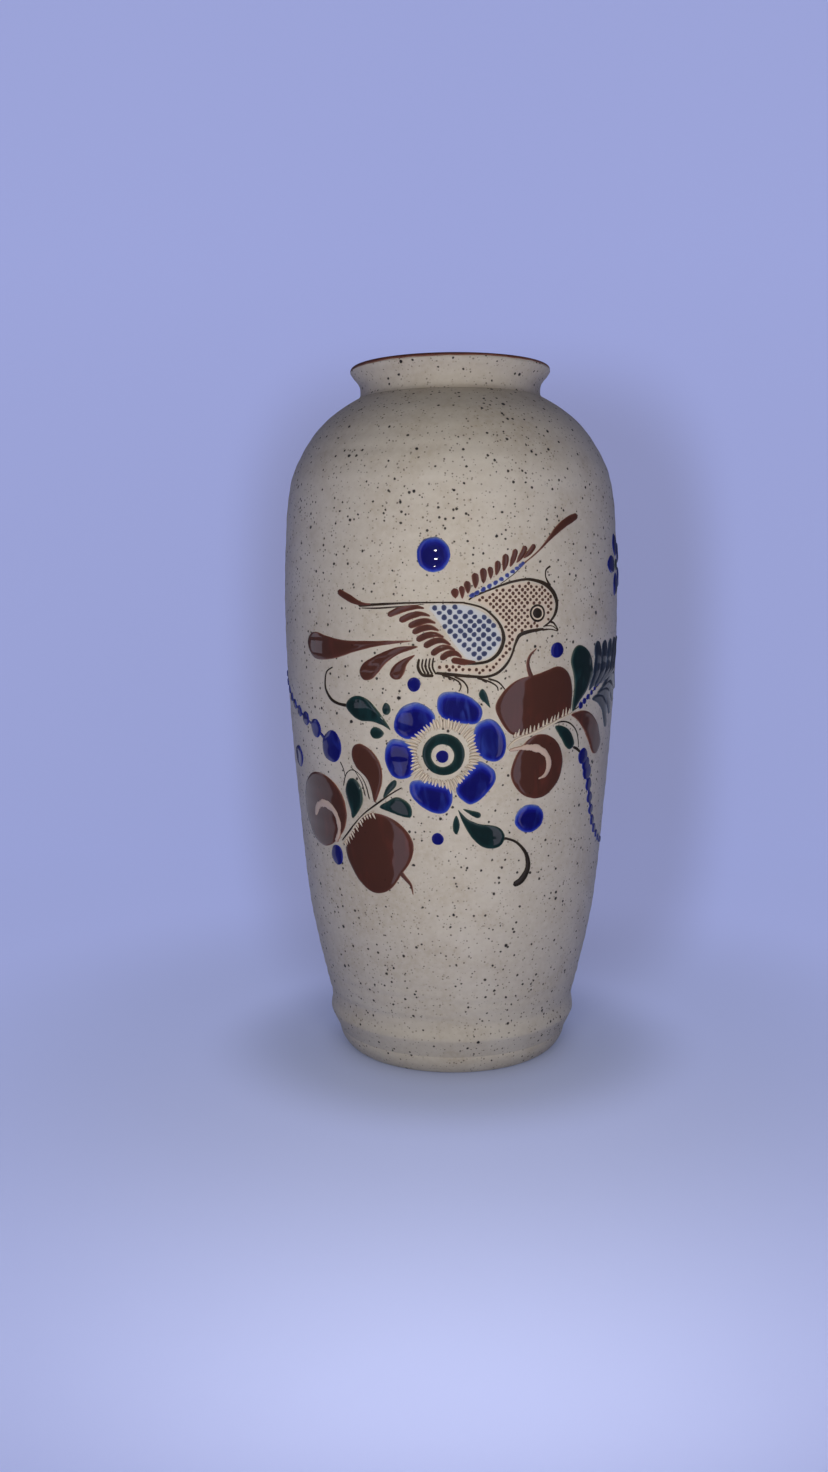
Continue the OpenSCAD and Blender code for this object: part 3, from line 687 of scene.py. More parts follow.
dense = spline_open([tuple(q) for q in WALL], 1)
wz = np.unique(np.r_[np.linspace(12.5, 24, 28), np.linspace(24, 205, 190), np.linspace(205, 242.5, 60)])
wall_prof = np.c_[np.interp(wz, WALL[:, 1], WALL[:, 0]), wz]
body_prof = np.vstack([[[0, 4.0], [16, 4.0], [31.4, 4.0], [31.5, 12.5]], wall_prof, [[28.8, 242.5]], cavity[::-1], [[0, 20]]])
body = lathe("body_clay", body_prof, MAT["clay"], 384, lambda r, z: z > 13 and r > 0.86 * np.interp(z, WALL[:, 1], WALL[:, 0]))
fix_normals(body)
sharp_by_angle(body)
finish_piece(body, "stoneware", "vessel_body")

lip_curve = spline_open([(32.8, 252.9), (34.2, 253.6), (35.3, 253.7), (36.2, 253.3), (36.6, 252.2)], 8)
col_in = spline_open([(28.8, 242.5), (28.8, 246), (29.6, 249), (31.0, 251.3), (32.8, 252.9)], 6)
col_out = spline_open([(36.6, 252.2), (35.6, 250.7), (34.3, 249.2), (33.3, 247.4), (33, 245.2), (33.2, 243.6), (34, 242.5)], 8)
collar = lathe("collar_clay", np.vstack([col_in[:-1], lip_curve[:-1], col_out]), MAT["clay"], 384)
fix_normals(collar)
sharp_by_angle(collar)
finish_piece(collar, "stoneware", "neck_collar")

foot_prof = np.vstack([[[31.5, 12.5], [31.5, 7], [31.6, 1.6], [32.0, 0.5], [32.8, 0.0], [35, 0.0], [37.5, 0.0]],
                       spline_open([(37.9, 0.1), (39.4, 0.8), (41.0, 2.3), (42.4, 4.4), (43.1, 6.4), (43.2, 7.6)], 6)[:-1],
                       spline_open([(43.2, 7.6), (43.9, 9.0), (44.8, 10.8), (45.6, 12.5)], 6)])
foot = lathe("foot_clay", foot_prof, MAT["clay"], 384)
fix_normals(foot)
sharp_by_angle(foot)
finish_piece(foot, "stoneware", "foot_ring")

# liner glaze: a thin coat over the whole inside
lin = np.vstack([[[0, 20]], cavity, col_in[:22]])
dd = np.gradient(lin, axis=0)
dd /= np.maximum(np.hypot(*dd.T)[:, None], 1e-9)
lin_in = lin + np.c_[-dd[:, 1], dd[:, 0]] * 0.3
lin_in[0] = (0, 20.3)
liner = lathe("liner_coat", np.vstack([lin, lin_in[::-1]]), MAT["liner"], 256)
fix_normals(liner)
finish_piece(liner, "liner_glaze", "liner_glaze")


def lip_band():
    """The iron wash on the lip, its lower edge uneven round the rim."""
    seg = 384
    phi = np.linspace(0, 2 * np.pi, seg, endpoint=False)
    path = np.vstack([col_in[-5:-1], lip_curve[:-1], col_out[:7]])
    L = np.r_[0, np.cumsum(np.hypot(*np.diff(path, axis=0).T))]
    total = L[-1]
    r = np.random.default_rng(5)
    def uneven(amp):
        return amp * sum(np.sin(phi * f + r.uniform(0, 6.28)) / f ** 0.6 for f in (1, 2, 3, 5, 8, 13, 21, 34))
    start = 0.9 + uneven(0.22)
    end = total - 1.75 - 0.55 * np.sin(phi) + uneven(0.2)
    end = np.clip(end, total - 2.9, total - 0.3)
    start = np.clip(start, 0.1, 2.0)
    rows = 22
    rings, ev = [], []
    for k in range(rows + 1):
        u = k / rows
        t = start + (end - start) * u
        p = np.c_[np.interp(t, L, path[:, 0]), np.interp(t, L, path[:, 1])]
        q = np.c_[np.interp(t + 0.05, L, path[:, 0]), np.interp(t + 0.05, L, path[:, 1])]
        q0 = np.c_[np.interp(t - 0.05, L, path[:, 0]), np.interp(t - 0.05, L, path[:, 1])]
        d = q - q0
        d /= np.maximum(np.hypot(*d.T)[:, None], 1e-9)
        nrm = np.c_[-d[:, 1], d[:, 0]]
        e = np.minimum(t - start, end - t)
        h = 0.22 * np.sqrt(np.clip(1 - (1 - np.clip(e / 0.5, 0, 1)) ** 2, 0, 1)) - 0.02
        p = p + nrm * h[:, None]
        rings.append(np.c_[p[:, 0] * np.sin(phi), -p[:, 0] * np.cos(phi), p[:, 1]] * MM)
        ev.append(e)
    for t in (end, start):
        p = np.c_[np.interp(t, L, path[:, 0]), np.interp(t, L, path[:, 1])]
        q = np.c_[np.interp(t + 0.05, L, path[:, 0]), np.interp(t + 0.05, L, path[:, 1])]
        q0 = np.c_[np.interp(t - 0.05, L, path[:, 0]), np.interp(t - 0.05, L, path[:, 1])]
        d = q - q0
        d /= np.maximum(np.hypot(*d.T)[:, None], 1e-9)
        p = p - np.c_[-d[:, 1], d[:, 0]] * 0.3
        rings.append(np.c_[p[:, 0] * np.sin(phi), -p[:, 0] * np.cos(phi), p[:, 1]] * MM)
        ev.append(np.zeros(seg))
    V = np.vstack(rings)
    n = len(rings)
    F = []
    for i in range(n):
        a, b = i * seg, ((i + 1) % n) * seg
        for j in range(seg):
            k = (j + 1) % seg
            F.append((a + j, a + k, b + k, b + j))
    o = make_object("lip_wash_band", V, F, MAT["wash"], np.concatenate(ev))
    fix_normals(o)
    return o


finish_piece(lip_band(), "iron_wash", "lip_wash")


# ------------------------------------------------------------------ the flower
PETALS = [
    [(-4.6, 138.4), (-2.2, 140), (2, 139.7), (6, 138.1), (9.4, 135), (9.9, 131.8), (8, 129.1), (4, 129.1), (-1, 130.2), (-4, 131.9), (-5.1, 135)],
    [(-12.5, 136.4), (-8.5, 135.1), (-5.7, 132), (-6.5, 129), (-9.5, 126.4), (-13, 124.1), (-16.5, 124), (-19.7, 126.8), (-19.5, 130.5), (-17, 134.5)],
    [(-21.6, 123.3), (-18, 123.7), (-14.5, 122.3), (-12.9, 118.8), (-13.1, 114.5), (-14.1, 111.3), (-17.5, 110), (-20.9, 110.9), (-23.1, 114.4), (-23.5, 119)],
    [(-13.7, 109.7), (-9, 109.9), (-4, 108.7), (-0.5, 107), (-0.1, 102.5), (-2.3, 98.9), (-6, 98.5), (-10.5, 100.5), (-14.1, 104), (-15.1, 107.4)],
    [(8.4, 116.3), (11.4, 115.5), (14.5, 112.9), (14.9, 109.6), (12, 105.3), (8.4, 102.3), (5.4, 101.7), (1.9, 104.6), (1.3, 108), (4.6, 112.5)],
    [(10, 130.3), (13, 130.6), (16.1, 128.2), (18.3, 123.6), (17.9, 118.4), (15, 116.1), (11, 116.9), (7.7, 120), (6.9, 124.4), (7.7, 128.4)]]
bt = Batch()
for i, p in enumerate(PETALS):
    patch(bt, spline_closed(p), 0.62, 1.7, 0.75, seed=20 + i, lump=0.22, thin=0.72)
finish_piece(bt.build("flower_petals_enamel", MAT["cobalt"]), "cobalt_enamel", "flower_petals")


def circle(s, z, a, b=None, tilt=0, n=64):
    b = a if b is None else b
    t = np.linspace(0, 2 * np.pi, n, endpoint=False)
    ct, st = math.cos(math.radians(tilt)), math.sin(math.radians(tilt))
    return np.c_[s + a * np.cos(t) * ct - b * np.sin(t) * st, z + a * np.cos(t) * st + b * np.sin(t) * ct]


bt = Batch()
patch(bt, circle(-3, 118.8, 7.2), 0.55, 1.2, 0.6, holes=[circle(-3.3, 118.4, 3.8)], seed=31, lump=0.12)
finish_piece(bt.build("flower_ring_enamel", MAT["green"]), "green_enamel", "flower_ring")
bt = Batch()
dome(bt, -3.4, 118.1, 2.1, 2.2, 0.55, seg=32, rows=8)
finish_piece(bt.build("flower_centre_enamel", MAT["bead"]), "cobalt_enamel", "flower_centre")

# ------------------------------------------------------------------ buds, leaves
BUDS = [
    [(14.3, 134), (15.6, 138), (18.8, 141.6), (23, 144), (28, 145), (33, 146.4), (37.4, 147.6), (41.4, 146), (44, 142.2), (44.8, 137),
     (43.8, 131.6), (38.5, 129.4), (33, 127.6), (27.5, 125.4), (23.5, 124.6), (20, 125.2), (16.8, 128.6)],
    [(-33, 96.4), (-29, 97.7), (-24, 97), (-18.8, 94.4), (-15, 90), (-14, 85.6), (-15.6, 80.8), (-19, 76.4), (-22.5, 71.8), (-27, 69.2),
     (-32, 69.2), (-37, 72.4), (-41, 77.8), (-43, 83.4), (-40.4, 88.4), (-36.8, 92.8)]]
bt = Batch()
for i, p in enumerate(BUDS):
    patch(bt, spline_closed(p), 0.42, 1.1, 1.0, seed=40 + i, lump=0.1)
trail(bt, [(27, 144), (26, 146.4), (25.5, 149), (26.3, 151.6), (28.8, 153.9)], [1.9, 1.5, 1.3, 0.9, 0.35], 0.38, seed=3)
trail(bt, [(-20.2, 78), (-17.6, 75.3), (-15.5, 72.8), (-14.8, 69.3)], [2.2, 1.5, 1.0, 0.4], 0.38, seed=4)
finish_piece(bt.build("plain_buds_enamel", MAT["brown"]), "brown_enamel", "plain_buds")

SCROLL = [
    [(20.3, 111.4), (21.4, 116.6), (24.6, 121.4), (29, 124.4), (34, 124.4), (38.8, 121.4), (41.5, 116.4), (41.4, 110.8), (39, 106.4),
     (35, 103.3), (30.4, 102.4), (25.6, 103.8), (22, 107.2)],
    [(-69, 96.6), (-67.8, 102), (-64, 106.8), (-58.5, 109.4), (-52, 109.2), (-46, 106.4), (-42.3, 102), (-41, 96.6), (-42.4, 91.4),
     (-46, 87.2), (-51.5, 83.6), (-57.5, 82.8), (-63.6, 85.4), (-67.6, 90.6)]]
bt = Batch()
for i, p in enumerate(SCROLL):
    patch(bt, spline_closed(p), 0.42, 1.1, 1.0, seed=50 + i, lump=0.1)
finish_piece(bt.build("scroll_buds_enamel", MAT["brown"]), "brown_enamel", "scroll_buds")

BROWN_LEAVES = [
    [(-37, 117.6), (-35.8, 120.6), (-32.6, 121.5), (-28.6, 119.4), (-25.6, 115.6), (-24.6, 111), (-25.8, 106), (-28.4, 101.2), (-29.4, 105.4), (-31.4, 109.8), (-35.4, 113.2)],
    [(44.4, 130.6), (48, 131.4), (52, 131.5), (56.4, 130.2), (61, 127), (64.4, 122.8), (65.7, 118.6), (63, 115.4), (59.4, 115.8), (56.4, 119.4), (52.6, 124.2), (48.6, 128)]]
bt = Batch()
for i, p in enumerate(BROWN_LEAVES):
    patch(bt, spline_closed(p), 0.42, 1.0, 0.8, seed=60 + i)
finish_piece(bt.build("brown_leaves_enamel", MAT["brown"]), "brown_enamel", "brown_leaves")

PODS = [
    [(-38.4, 134.3), (-36.6, 137), (-33, 138.1), (-29.4, 137), (-26, 133.9), (-23, 130), (-20.8, 126.5), (-24, 128.2), (-28, 129.3), (-32.4, 129.4), (-36, 131.2)],
    [(1.8, 99.9), (5, 96.8), (9, 94.9), (13.4, 94.2), (17, 93), (19, 90), (17.8, 87), (14.4, 85.8), (10.4, 86.8), (6.8, 90), (4, 94.4)]]
bt = Batch()
for i, p in enumerate(PODS):
    patch(bt, spline_closed(p), 0.55, 1.5, 0.7, seed=70 + i)
finish_piece(bt.build("green_pods_enamel", MAT["green"]), "green_enamel", "green_pods")

GREEN_LEAVES = [
    [(-40.8, 105), (-39.4, 108.4), (-36.8, 109.3), (-34.2, 107.2), (-33.1, 103.4), (-34, 99.4), (-38.4, 94.7), (-39.2, 98.2), (-40.4, 101.6)],
    [(-26.6, 99.8), (-23.4, 102), (-20, 103.7), (-16.4, 102.7), (-14.3, 99.8), (-14.8, 96.8), (-18.4, 97.1), (-22.4, 98.3)],
    [(43.3, 149.8), (45.2, 153.6), (48.6, 154.3), (52.6, 152.4), (55.5, 148.2), (55.5, 143), (52.6, 138.4), (48.8, 134.8), (45.1, 131.4), (45.3, 137), (45.4, 142), (44.2, 146)],
    [(37.2, 126.9), (40.6, 127), (44, 125.4), (46.5, 122.6), (47.1, 119.8), (45, 118.3), (42.6, 119.6), (40.2, 122.8)]]
bt = Batch()
for i, p in enumerate(GREEN_LEAVES):
    patch(bt, spline_closed(p), 0.5, 1.3, 0.7, seed=80 + i)
finish_piece(bt.build("green_leaves_enamel", MAT["green"]), "green_enamel", "green_leaves")

SMALL = [
    [(-23.9, 134), (-22.8, 136), (-21.2, 135.2), (-20.8, 133.2), (-22, 131.8), (-23.4, 132.2)],
    [(-28.9, 125.6), (-27.4, 127.6), (-25, 127.2), (-23.4, 125.6), (-25, 123.8), (-27.6, 123.6)],
    [(8.6, 139.2), (9.8, 140.9), (11.2, 139.4), (12, 137), (12.6, 134.3), (10.8, 136), (9.2, 137.4)],
    [(3.5, 100.1), (6.4, 99.6), (9.5, 98.7), (9.9, 97.2), (8.4, 96.8), (6, 98.1)],
    [(1.2, 97.9), (2.3, 96), (2.5, 93.6), (1.5, 91.2), (0.2, 92.4), (0.1, 95.2)],
    [(-24.8, 103), (-22, 105.3), (-19.7, 107.6), (-19.6, 109.8), (-21.6, 109), (-23.8, 106.4)]]
bt = Batch()
for i, p in enumerate(SMALL):
    patch(bt, spline_closed(p), 0.36, 0.8, 0.5, seed=90 + i, wobble=0.06)
finish_piece(bt.build("small_leaves_enamel", MAT["green"]), "green_enamel", "small_leaves")

# leaf fan at the right
bt = Batch()
for f in range(5):
    trail(bt, [(54 + 3.4 * f, 138.4 + 0.9 * f), (58 + 4.8 * f, 143.2 + 0.6 * f), (59.6 + 5.2 * f, 149 + 0.4 * f), (58.4 + 6.1 * f, 155.4 + 0.2 * f)],
          [0.9, 3.4, 5.1, 5.7, 5.5, 4.2], 0.45, rows=5, seed=f)
for f in range(4):
    trail(bt, [(56.6 + 3.4 * f, 135.2 + 1.6 * f), (62.4 + 3.6 * f, 134.8 + 2.5 * f), (67.8 + 4 * f, 131.2 + 3.2 * f), (70.6 + 4.8 * f, 124 + 4.4 * f)],
          [0.9, 3.3, 5.0, 5.4, 4.8, 3.2], 0.45, rows=5, seed=10 + f)
finish_piece(bt.build("leaf_fan_enamel", MAT["slate"]), "slate_enamel", "leaf_fan")

# ------------------------------------------------------------------ the bird
bt = Batch()
trail(bt, [(5.2, 170.1), (8, 172), (12, 173.4), (16, 174.9), (20, 176.1), (25, 176.8), (30, 175.9), (33.2, 174.2), (35.6, 171.6), (36.5, 168.6), (35.9, 165.4), (33.6, 162.6), (31, 160.9)],
      [0.59, 0.65, 0.78, 0.78, 0.91, 1.3, 1.69, 1.56, 0.91, 0.52], 0.3, rows=3, step=0.4)
trail(bt, [(31.4, 160.3), (26, 159.6), (22.4, 158.4), (20.9, 155.6), (19.7, 152), (17.8, 148.7), (14.8, 146), (11, 144.8), (6, 145), (0, 145.6), (-5.4, 146.2)],
      [0.78, 1.3, 1.56, 0.65, 0.91, 1.04, 0.91, 0.91, 1.17, 1.3, 0.78], 0.3, rows=3, step=0.4)
trail(bt, [(3.4, 169.3), (9.2, 167.8), (13.2, 164.9), (16, 161), (16.8, 157), (15.4, 153), (12.2, 150.2), (8, 149.3), (3, 149.4)],
      [0.65, 0.65, 0.78, 1.04, 1.43, 1.17, 0.91, 1.17], 0.3, rows=3, step=0.4)
trail(bt, [(33.6, 162.8), (35.4, 162), (37.3, 159.7)], [0.91, 0.65, 0.52], 0.26, rows=3, step=0.3)
trail(bt, [(31, 161.2), (34.6, 161.2), (37.2, 159.6)], [0.45, 0.39, 0.39], 0.22, rows=3, step=0.3)
trail(bt, [(30.6, 159.9), (34, 160.1), (37.2, 159.4)], [0.78, 0.45, 0.45], 0.26, rows=3, step=0.3)
trail(bt, [(33.8, 174.4), (32.6, 176.3), (31.9, 178), (32.2, 180), (34, 181.2)], [1.17, 0.78, 0.52, 0.59, 0.78], 0.26, rows=3, step=0.3)
for i in range(5):
    trail(bt, [(-10.6 + 1.15 * i, 150.8 + 0.15 * i), (-11 + 1.15 * i, 148.2), (-9.8 + 1.15 * i, 145.6)], [0.52, 0.65, 0.65], 0.26, rows=3, step=0.4, seed=i)
trail(bt, [(-10.8, 151), (-11.2, 148), (-9.6, 145.5), (-6, 145.3)], [0.65, 0.91, 1.04, 1.04], 0.28, rows=3, step=0.4)
# long top edge of the wing
trail(bt, [(4.4, 169.3), (-5, 169.4), (-15, 169.25), (-25, 168.8), (-32, 168.4)], [0.65, 0.65, 0.75, 0.95, 1.17], 0.26, rows=3)
trail(bt, [(-31, 167.6), (-25, 167.55), (-17, 168.1), (-9, 168.8)], [0.5, 0.8, 0.7, 0.4], 0.22, rows=3)
finish_piece(bt.build("bird_line_work", MAT["brownline"]), "brown_line", "bird_outline")

BODY_AREA = np.array([(6, 170), (9, 171.9), (12, 172.9), (16, 174.4), (20, 175.6), (25, 176.2), (29.8, 175.3), (33, 173.6), (35, 171.2), (35.8, 168.5),
                      (35.2, 165.4), (33.2, 162.8), (30.6, 160.9), (26, 160), (21.8, 158.9), (20.2, 155.6), (19, 152), (17.2, 149), (14.4, 146.6), (11, 145.5),
                      (6, 145.6), (0, 146.3), (-5, 147), (-4.6, 149.6), (-1, 149.4), (3, 148.7), (8.6, 148.5), (12.8, 149.6), (16, 152.6), (17.5, 157), (16.7, 161.3), (13.7, 165.6), (9.6, 168.5)])
WING_AREA = np.array([(-7.6, 168.5), (0, 168.9), (5.4, 168.2), (10.2, 166), (13.8, 162.6), (16.1, 157.8),
                      (14.8, 153.6), (11.8, 151), (8, 150.1), (4.8, 150.8), (2.6, 153.2), (0.4, 156),
                      (-1.6, 159), (-3.6, 162), (-5.6, 165)])
bt = Batch()
patch(bt, BODY_AREA, 0.07, 0.6, 0.9, seed=99, lump=0.1, wobble=0.02)
finish_piece(bt.build("bird_body_wash", MAT["tan"]), "pale_wash")
bt = Batch()
cz = circle(28.8, 165.6, 3.5)
for i in range(-30, 60):
    for j in range(-30, 60):
        # diagonal lattice, drifting a little as dots set down by hand do
        x = 10 + (i - j) * 1.09 + 0.14 * math.sin(j * 0.7)
        y = 158 + (i + j) * 1.09 + 0.14 * math.sin(i * 0.6)
        q = np.array([[x + rng.uniform(-0.12, 0.12), y + rng.uniform(-0.12, 0.12)]])
        if not inside(q, BODY_AREA)[0] or inside(q, cz)[0] or seg_dist(q, BODY_AREA)[0] < 0.55:
            continue
        rr_ = rng.uniform(0.53, 0.64)
        dome(bt, q[0, 0], q[0, 1], rr_, rr_ * rng.uniform(0.9, 1.1), 0.16, seg=10, rows=3, seed=i * 61 + j, wob=0.1, base=0.06)
finish_piece(bt.build("bird_body_dots", MAT["browndot"]), "brown_line")

bt = Batch()
patch(bt, spline_closed(WING_AREA), 0.14, 0.6, 0.9, seed=101, lump=0.1)
finish_piece(bt.build("bird_wing_wash", MAT["pale"]), "pale_wash", "bird_wing")
bt = Batch()
for i in range(-30, 60):
    for j in range(-30, 60):
        x = 4 + (i - j) * 1.58 + 0.18 * math.sin(j * 0.9)
        y = 158.6 + (i + j) * 1.58 * 0.95 + 0.18 * math.sin(i * 0.8)
        q = np.array([[x + rng.uniform(-0.15, 0.15), y + rng.uniform(-0.15, 0.15)]])
        if not inside(q, WING_AREA)[0] or seg_dist(q, WING_AREA)[0] < 0.75:
            continue
        rr_ = rng.uniform(0.86, 0.98)
        dome(bt, q[0, 0], q[0, 1], rr_, rr_ * rng.uniform(0.9, 1.1), 0.2, seg=14, rows=4, seed=i * 50 + j, wob=0.12, base=0.12)
finish_piece(bt.build("bird_wing_dots", MAT["bluedot"]), "cobalt_enamel")

bt = Batch()
dome(bt, 28.8, 165.6, 1.75, 1.8, 0.35, seg=28, rows=6)
patch(bt, circle(28.8, 165.6, 2.95, 3.0), 0.26, 0.3, 0.5, holes=[circle(28.8, 165.6, 2.2)], seed=5, wobble=0.03)
finish_piece(bt.build("bird_eye_enamel", MAT["line"]), "black_line", "bird_eye")

bt = Batch()
for p in ([(-3.4, 145.4), (-0.4, 144.6), (1.9, 143.4), (2.8, 141.9), (2.4, 140.3)], [(0.6, 145), (3.4, 143.5), (4.9, 141.4), (5, 139.2)],
          [(8, 144.4), (12, 143.2), (14.6, 141.6), (15.2, 139.9)], [(11.6, 144.2), (15.2, 142.9), (17.6, 140.3)],
          [(-1.4, 144.6), (-0.4, 143.8)], [(9.6, 143.8), (11.4, 142.8)]):
    trail(bt, p, [0.7, 0.65, 0.6, 0.45], 0.26, rows=3, step=0.3)
finish_piece(bt.build("bird_legs_lines", MAT["brownline"]), "brown_line", "bird_legs")

bt = Batch()
trail(bt, [(-27, 168.9), (-30, 168.9), (-33, 169.7), (-36.5, 171.3), (-40.6, 173.3)], [0.7, 1.1, 1.9, 2.5, 2.6, 2.2], 0.36, rows=5)
FEATHERS = [
    [(-8.9, 167.5), (-12, 167.9), (-17, 166.9), (-21.2, 165.2)], [(-7.1, 165), (-10, 165.7), (-13.5, 165), (-17.2, 163.3)],
    [(-5.2, 162.6), (-8, 163.4), (-11, 162.8), (-14.2, 161.5)], [(-4.2, 160.1), (-7, 161.2), (-10, 160.8), (-12.9, 159.4)],
    [(-2.6, 158), (-5.4, 158.9), (-8.4, 158.5), (-11.6, 156.9)], [(-0.4, 155.4), (-3.2, 156.9), (-6.2, 156.5), (-9.2, 154.8)],
    [(1, 153.6), (-1.4, 154.7), (-4.2, 154.1), (-6.8, 152.2)], [(3.2, 151.2), (1, 152.7), (-1.6, 152.4), (-3.8, 150.6)],
    [(7.6, 149.8), (4.6, 149.7), (2, 150.1), (-0.4, 150.5)]]
for i, p in enumerate(FEATHERS):
    trail(bt, p, [0.6, 1.4, 2.05, 2.3, 2.35, 1.9], 0.36, rows=4, step=0.35, seed=i)
finish_piece(bt.build("wing_feathers_enamel", MAT["brown"]), "brown_enamel", "wing_feathers")

RAISED = [((1, 171), (0.5, 174), 2.0), ((3.2, 171), (2.8, 174.8), 1.4), ((5, 172.6), (4.5, 176.4), 1.7),
          ((7.4, 174.4), (7.1, 179), 1.8), ((10, 176), (9.8, 180.6), 1.8), ((12.4, 177.4), (12.1, 181), 1.4),
          ((14.3, 178.6), (14.8, 183), 1.6), ((16.8, 180), (17.5, 185.2), 1.7), ((19.2, 181.5), (21, 186.8), 1.6),
          ((21.6, 182.8), (24.6, 187.8), 1.6), ((24.2, 184.2), (28, 188.3), 1.5)]
bt = Batch()
for i, (a, b, w) in enumerate(RAISED):
    a, b = np.array(a, float), np.array(b, float)
    side = np.array([(b - a)[1], -(b - a)[0]]) * 0.05
    trail(bt, [a - (b - a) * 0.12, (a + b) / 2 + side, b], [0.5, 0.95 * w, 1.3 * w, 1.35 * w, 1.15 * w], 0.36, rows=4, step=0.35, seed=i)
trail(bt, [(22.4, 181.2), (26.6, 184), (30.5, 187.2), (33.6, 190.2), (37, 193.2), (41.4, 196), (46.8, 198.3)],
      [0.4, 0.5, 0.55, 0.8, 1.6, 2.4, 2.9, 2.9, 2.2], 0.36, rows=5)
finish_piece(bt.build("raised_wing_enamel", MAT["brown"]), "brown_enamel", "raised_wing")
bt = Batch()
trail(bt, [(5.6, 171.2), (11, 173.9), (16, 176.7), (20.6, 179.6), (23.6, 182.2)], [1.6, 1.9, 1.9, 1.7, 0.9], 0.12, rows=3)
finish_piece(bt.build("raised_wing_strip", MAT["pale"]), "pale_wash")
bt = Batch()
for i in range(11):
    u = i / 10
    c = spline_open([(6.4, 171.7), (11, 174.1), (16, 176.9), (20.6, 179.9), (23.4, 182)], 10)
    q = c[int(u * (len(c) - 1))]
    dome(bt, q[0], q[1], 1.0 - 0.25 * u, 0.85 - 0.2 * u, 0.22, seg=12, rows=3, seed=i, wob=0.2, base=0.1, tilt=30)
finish_piece(bt.build("raised_wing_dots", MAT["stripdot"]), "cobalt_enamel")
bt = Batch()
trail(bt, [(6, 170.7), (11, 172.9), (15, 174.6)], [0.3, 0.4, 0.3], 0.2, rows=3, step=0.4)
trail(bt, [(15.5, 175.2), (20, 178.4), (24, 182), (29, 186)], [0.3, 0.45, 0.5, 0.4], 0.2, rows=3, step=0.4)
finish_piece(bt.build("raised_wing_lines", MAT["brownline"]), "brown_line")

TAIL = [
    [(-57.3, 155), (-55.6, 158.3), (-51.5, 159.3), (-46, 158), (-38, 156.8), (-28, 156.7), (-12, 156.9), (-25, 154.8), (-34, 152.7), (-42, 150.5), (-48.5, 149.7), (-54, 150.5)],
    [(-32.1, 146), (-30.6, 149), (-26, 151.7), (-21, 153.9), (-16, 155.1), (-10.6, 154.9), (-17.4, 152.3), (-22, 149.3), (-25, 145.9), (-27.6, 143.7), (-30.6, 143.5)],
    [(-20.9, 145.4), (-20, 147.8), (-17.4, 150.1), (-11.8, 152.4), (-14.6, 149.3), (-15.7, 146.3), (-17.2, 144.1), (-19.4, 143.9)]]
bt = Batch()
for i, p in enumerate(TAIL):
    patch(bt, spline_closed(p), 0.4, 1.0, 0.8, seed=110 + i)
finish_piece(bt.build("tail_feathers_enamel", MAT["brown"]), "brown_enamel", "tail_feathers")

# ------------------------------------------------------------------ trailed lines
bt = Batch()
trail(bt, [(-38, 134.4), (-42, 134.9), (-45.4, 136.4), (-47.6, 139.6), (-47.8, 143), (-46.6, 145.8), (-43.6, 147.4)], [1.12, 1.0, 1.25, 1.25, 0.88, 0.5, 0.5], 0.32, rows=3)
trail(bt, [(18.6, 89.4), (22.4, 88.2), (25.2, 86.2), (27.8, 83), (28.8, 79.4), (28, 76.2), (25.8, 73.6), (22.9, 72.5)], [1.0, 0.88, 1.0, 1.38, 2.0, 2.5, 2.75, 2.0], 0.36, rows=4)
trail(bt, [(-44.6, 86.2), (-39, 91.6), (-34, 96.3), (-30, 99.2), (-26.8, 101.4), (-22, 104.6), (-17.6, 107.2)], [0.5, 0.62, 0.75, 0.62, 0.75, 0.5, 0.5], 0.24, rows=3)
trail(bt, [(-41.8, 106), (-40, 110.4), (-37, 112.1), (-33.4, 110.2), (-31.4, 106.4), (-30.4, 102.2)], [0.5, 0.62, 0.62, 0.5, 0.5, 0.5], 0.22, rows=3)
trail(bt, [(-38, 113.2), (-35.4, 111.2), (-33.2, 107.6), (-32, 103.2)], [0.5, 0.5, 0.5, 0.5], 0.22, rows=3)
trail(bt, [(-42.6, 114.6), (-41, 111.6), (-40.6, 109.2)], [0.62, 0.62, 0.5], 0.22, rows=3)
trail(bt, [(36.2, 127.8), (41, 128.4), (45.2, 127.1), (48.7, 123.6), (49.7, 119.2)], [0.5, 0.62, 0.62, 0.62, 0.5], 0.24, rows=3)
trail(bt, [(46.6, 119), (48.6, 118.4), (51.2, 116.8)], [0.88, 1.12, 1.0], 0.28, rows=3)
trail(bt, [(46, 132), (50, 133.8), (57, 138), (64, 141.2), (70, 143.4), (80, 146)], [0.5, 0.5, 0.62, 0.62, 0.5, 0.5], 0.24, rows=3)
finish_piece(bt.build("stem_line_work", MAT["line"]), "black_line", "stem_lines")

# combed cream slip: spikes round the flower's eye and along two buds
bt = Batch()
for i in range(58):
    t = 2 * math.pi * (i + rng.uniform(-0.2, 0.2)) / 58
    r0, r1 = 8.7 + rng.uniform(-0.3, 0.3), 13.0 + rng.uniform(-0.9, 0.9)
    c0, c1 = np.array([-3 + r0 * math.cos(t), 118.8 + r0 * math.sin(t)]), np.array([-3 + r1 * math.cos(t + 0.03), 118.8 + r1 * math.sin(t + 0.03)])
    trail(bt, [c0, (c0 + c1) / 2, c1], [0.6, 0.95, 0.9, 0.3], 0.5, rows=3, step=0.5, seed=i, base=0.22)


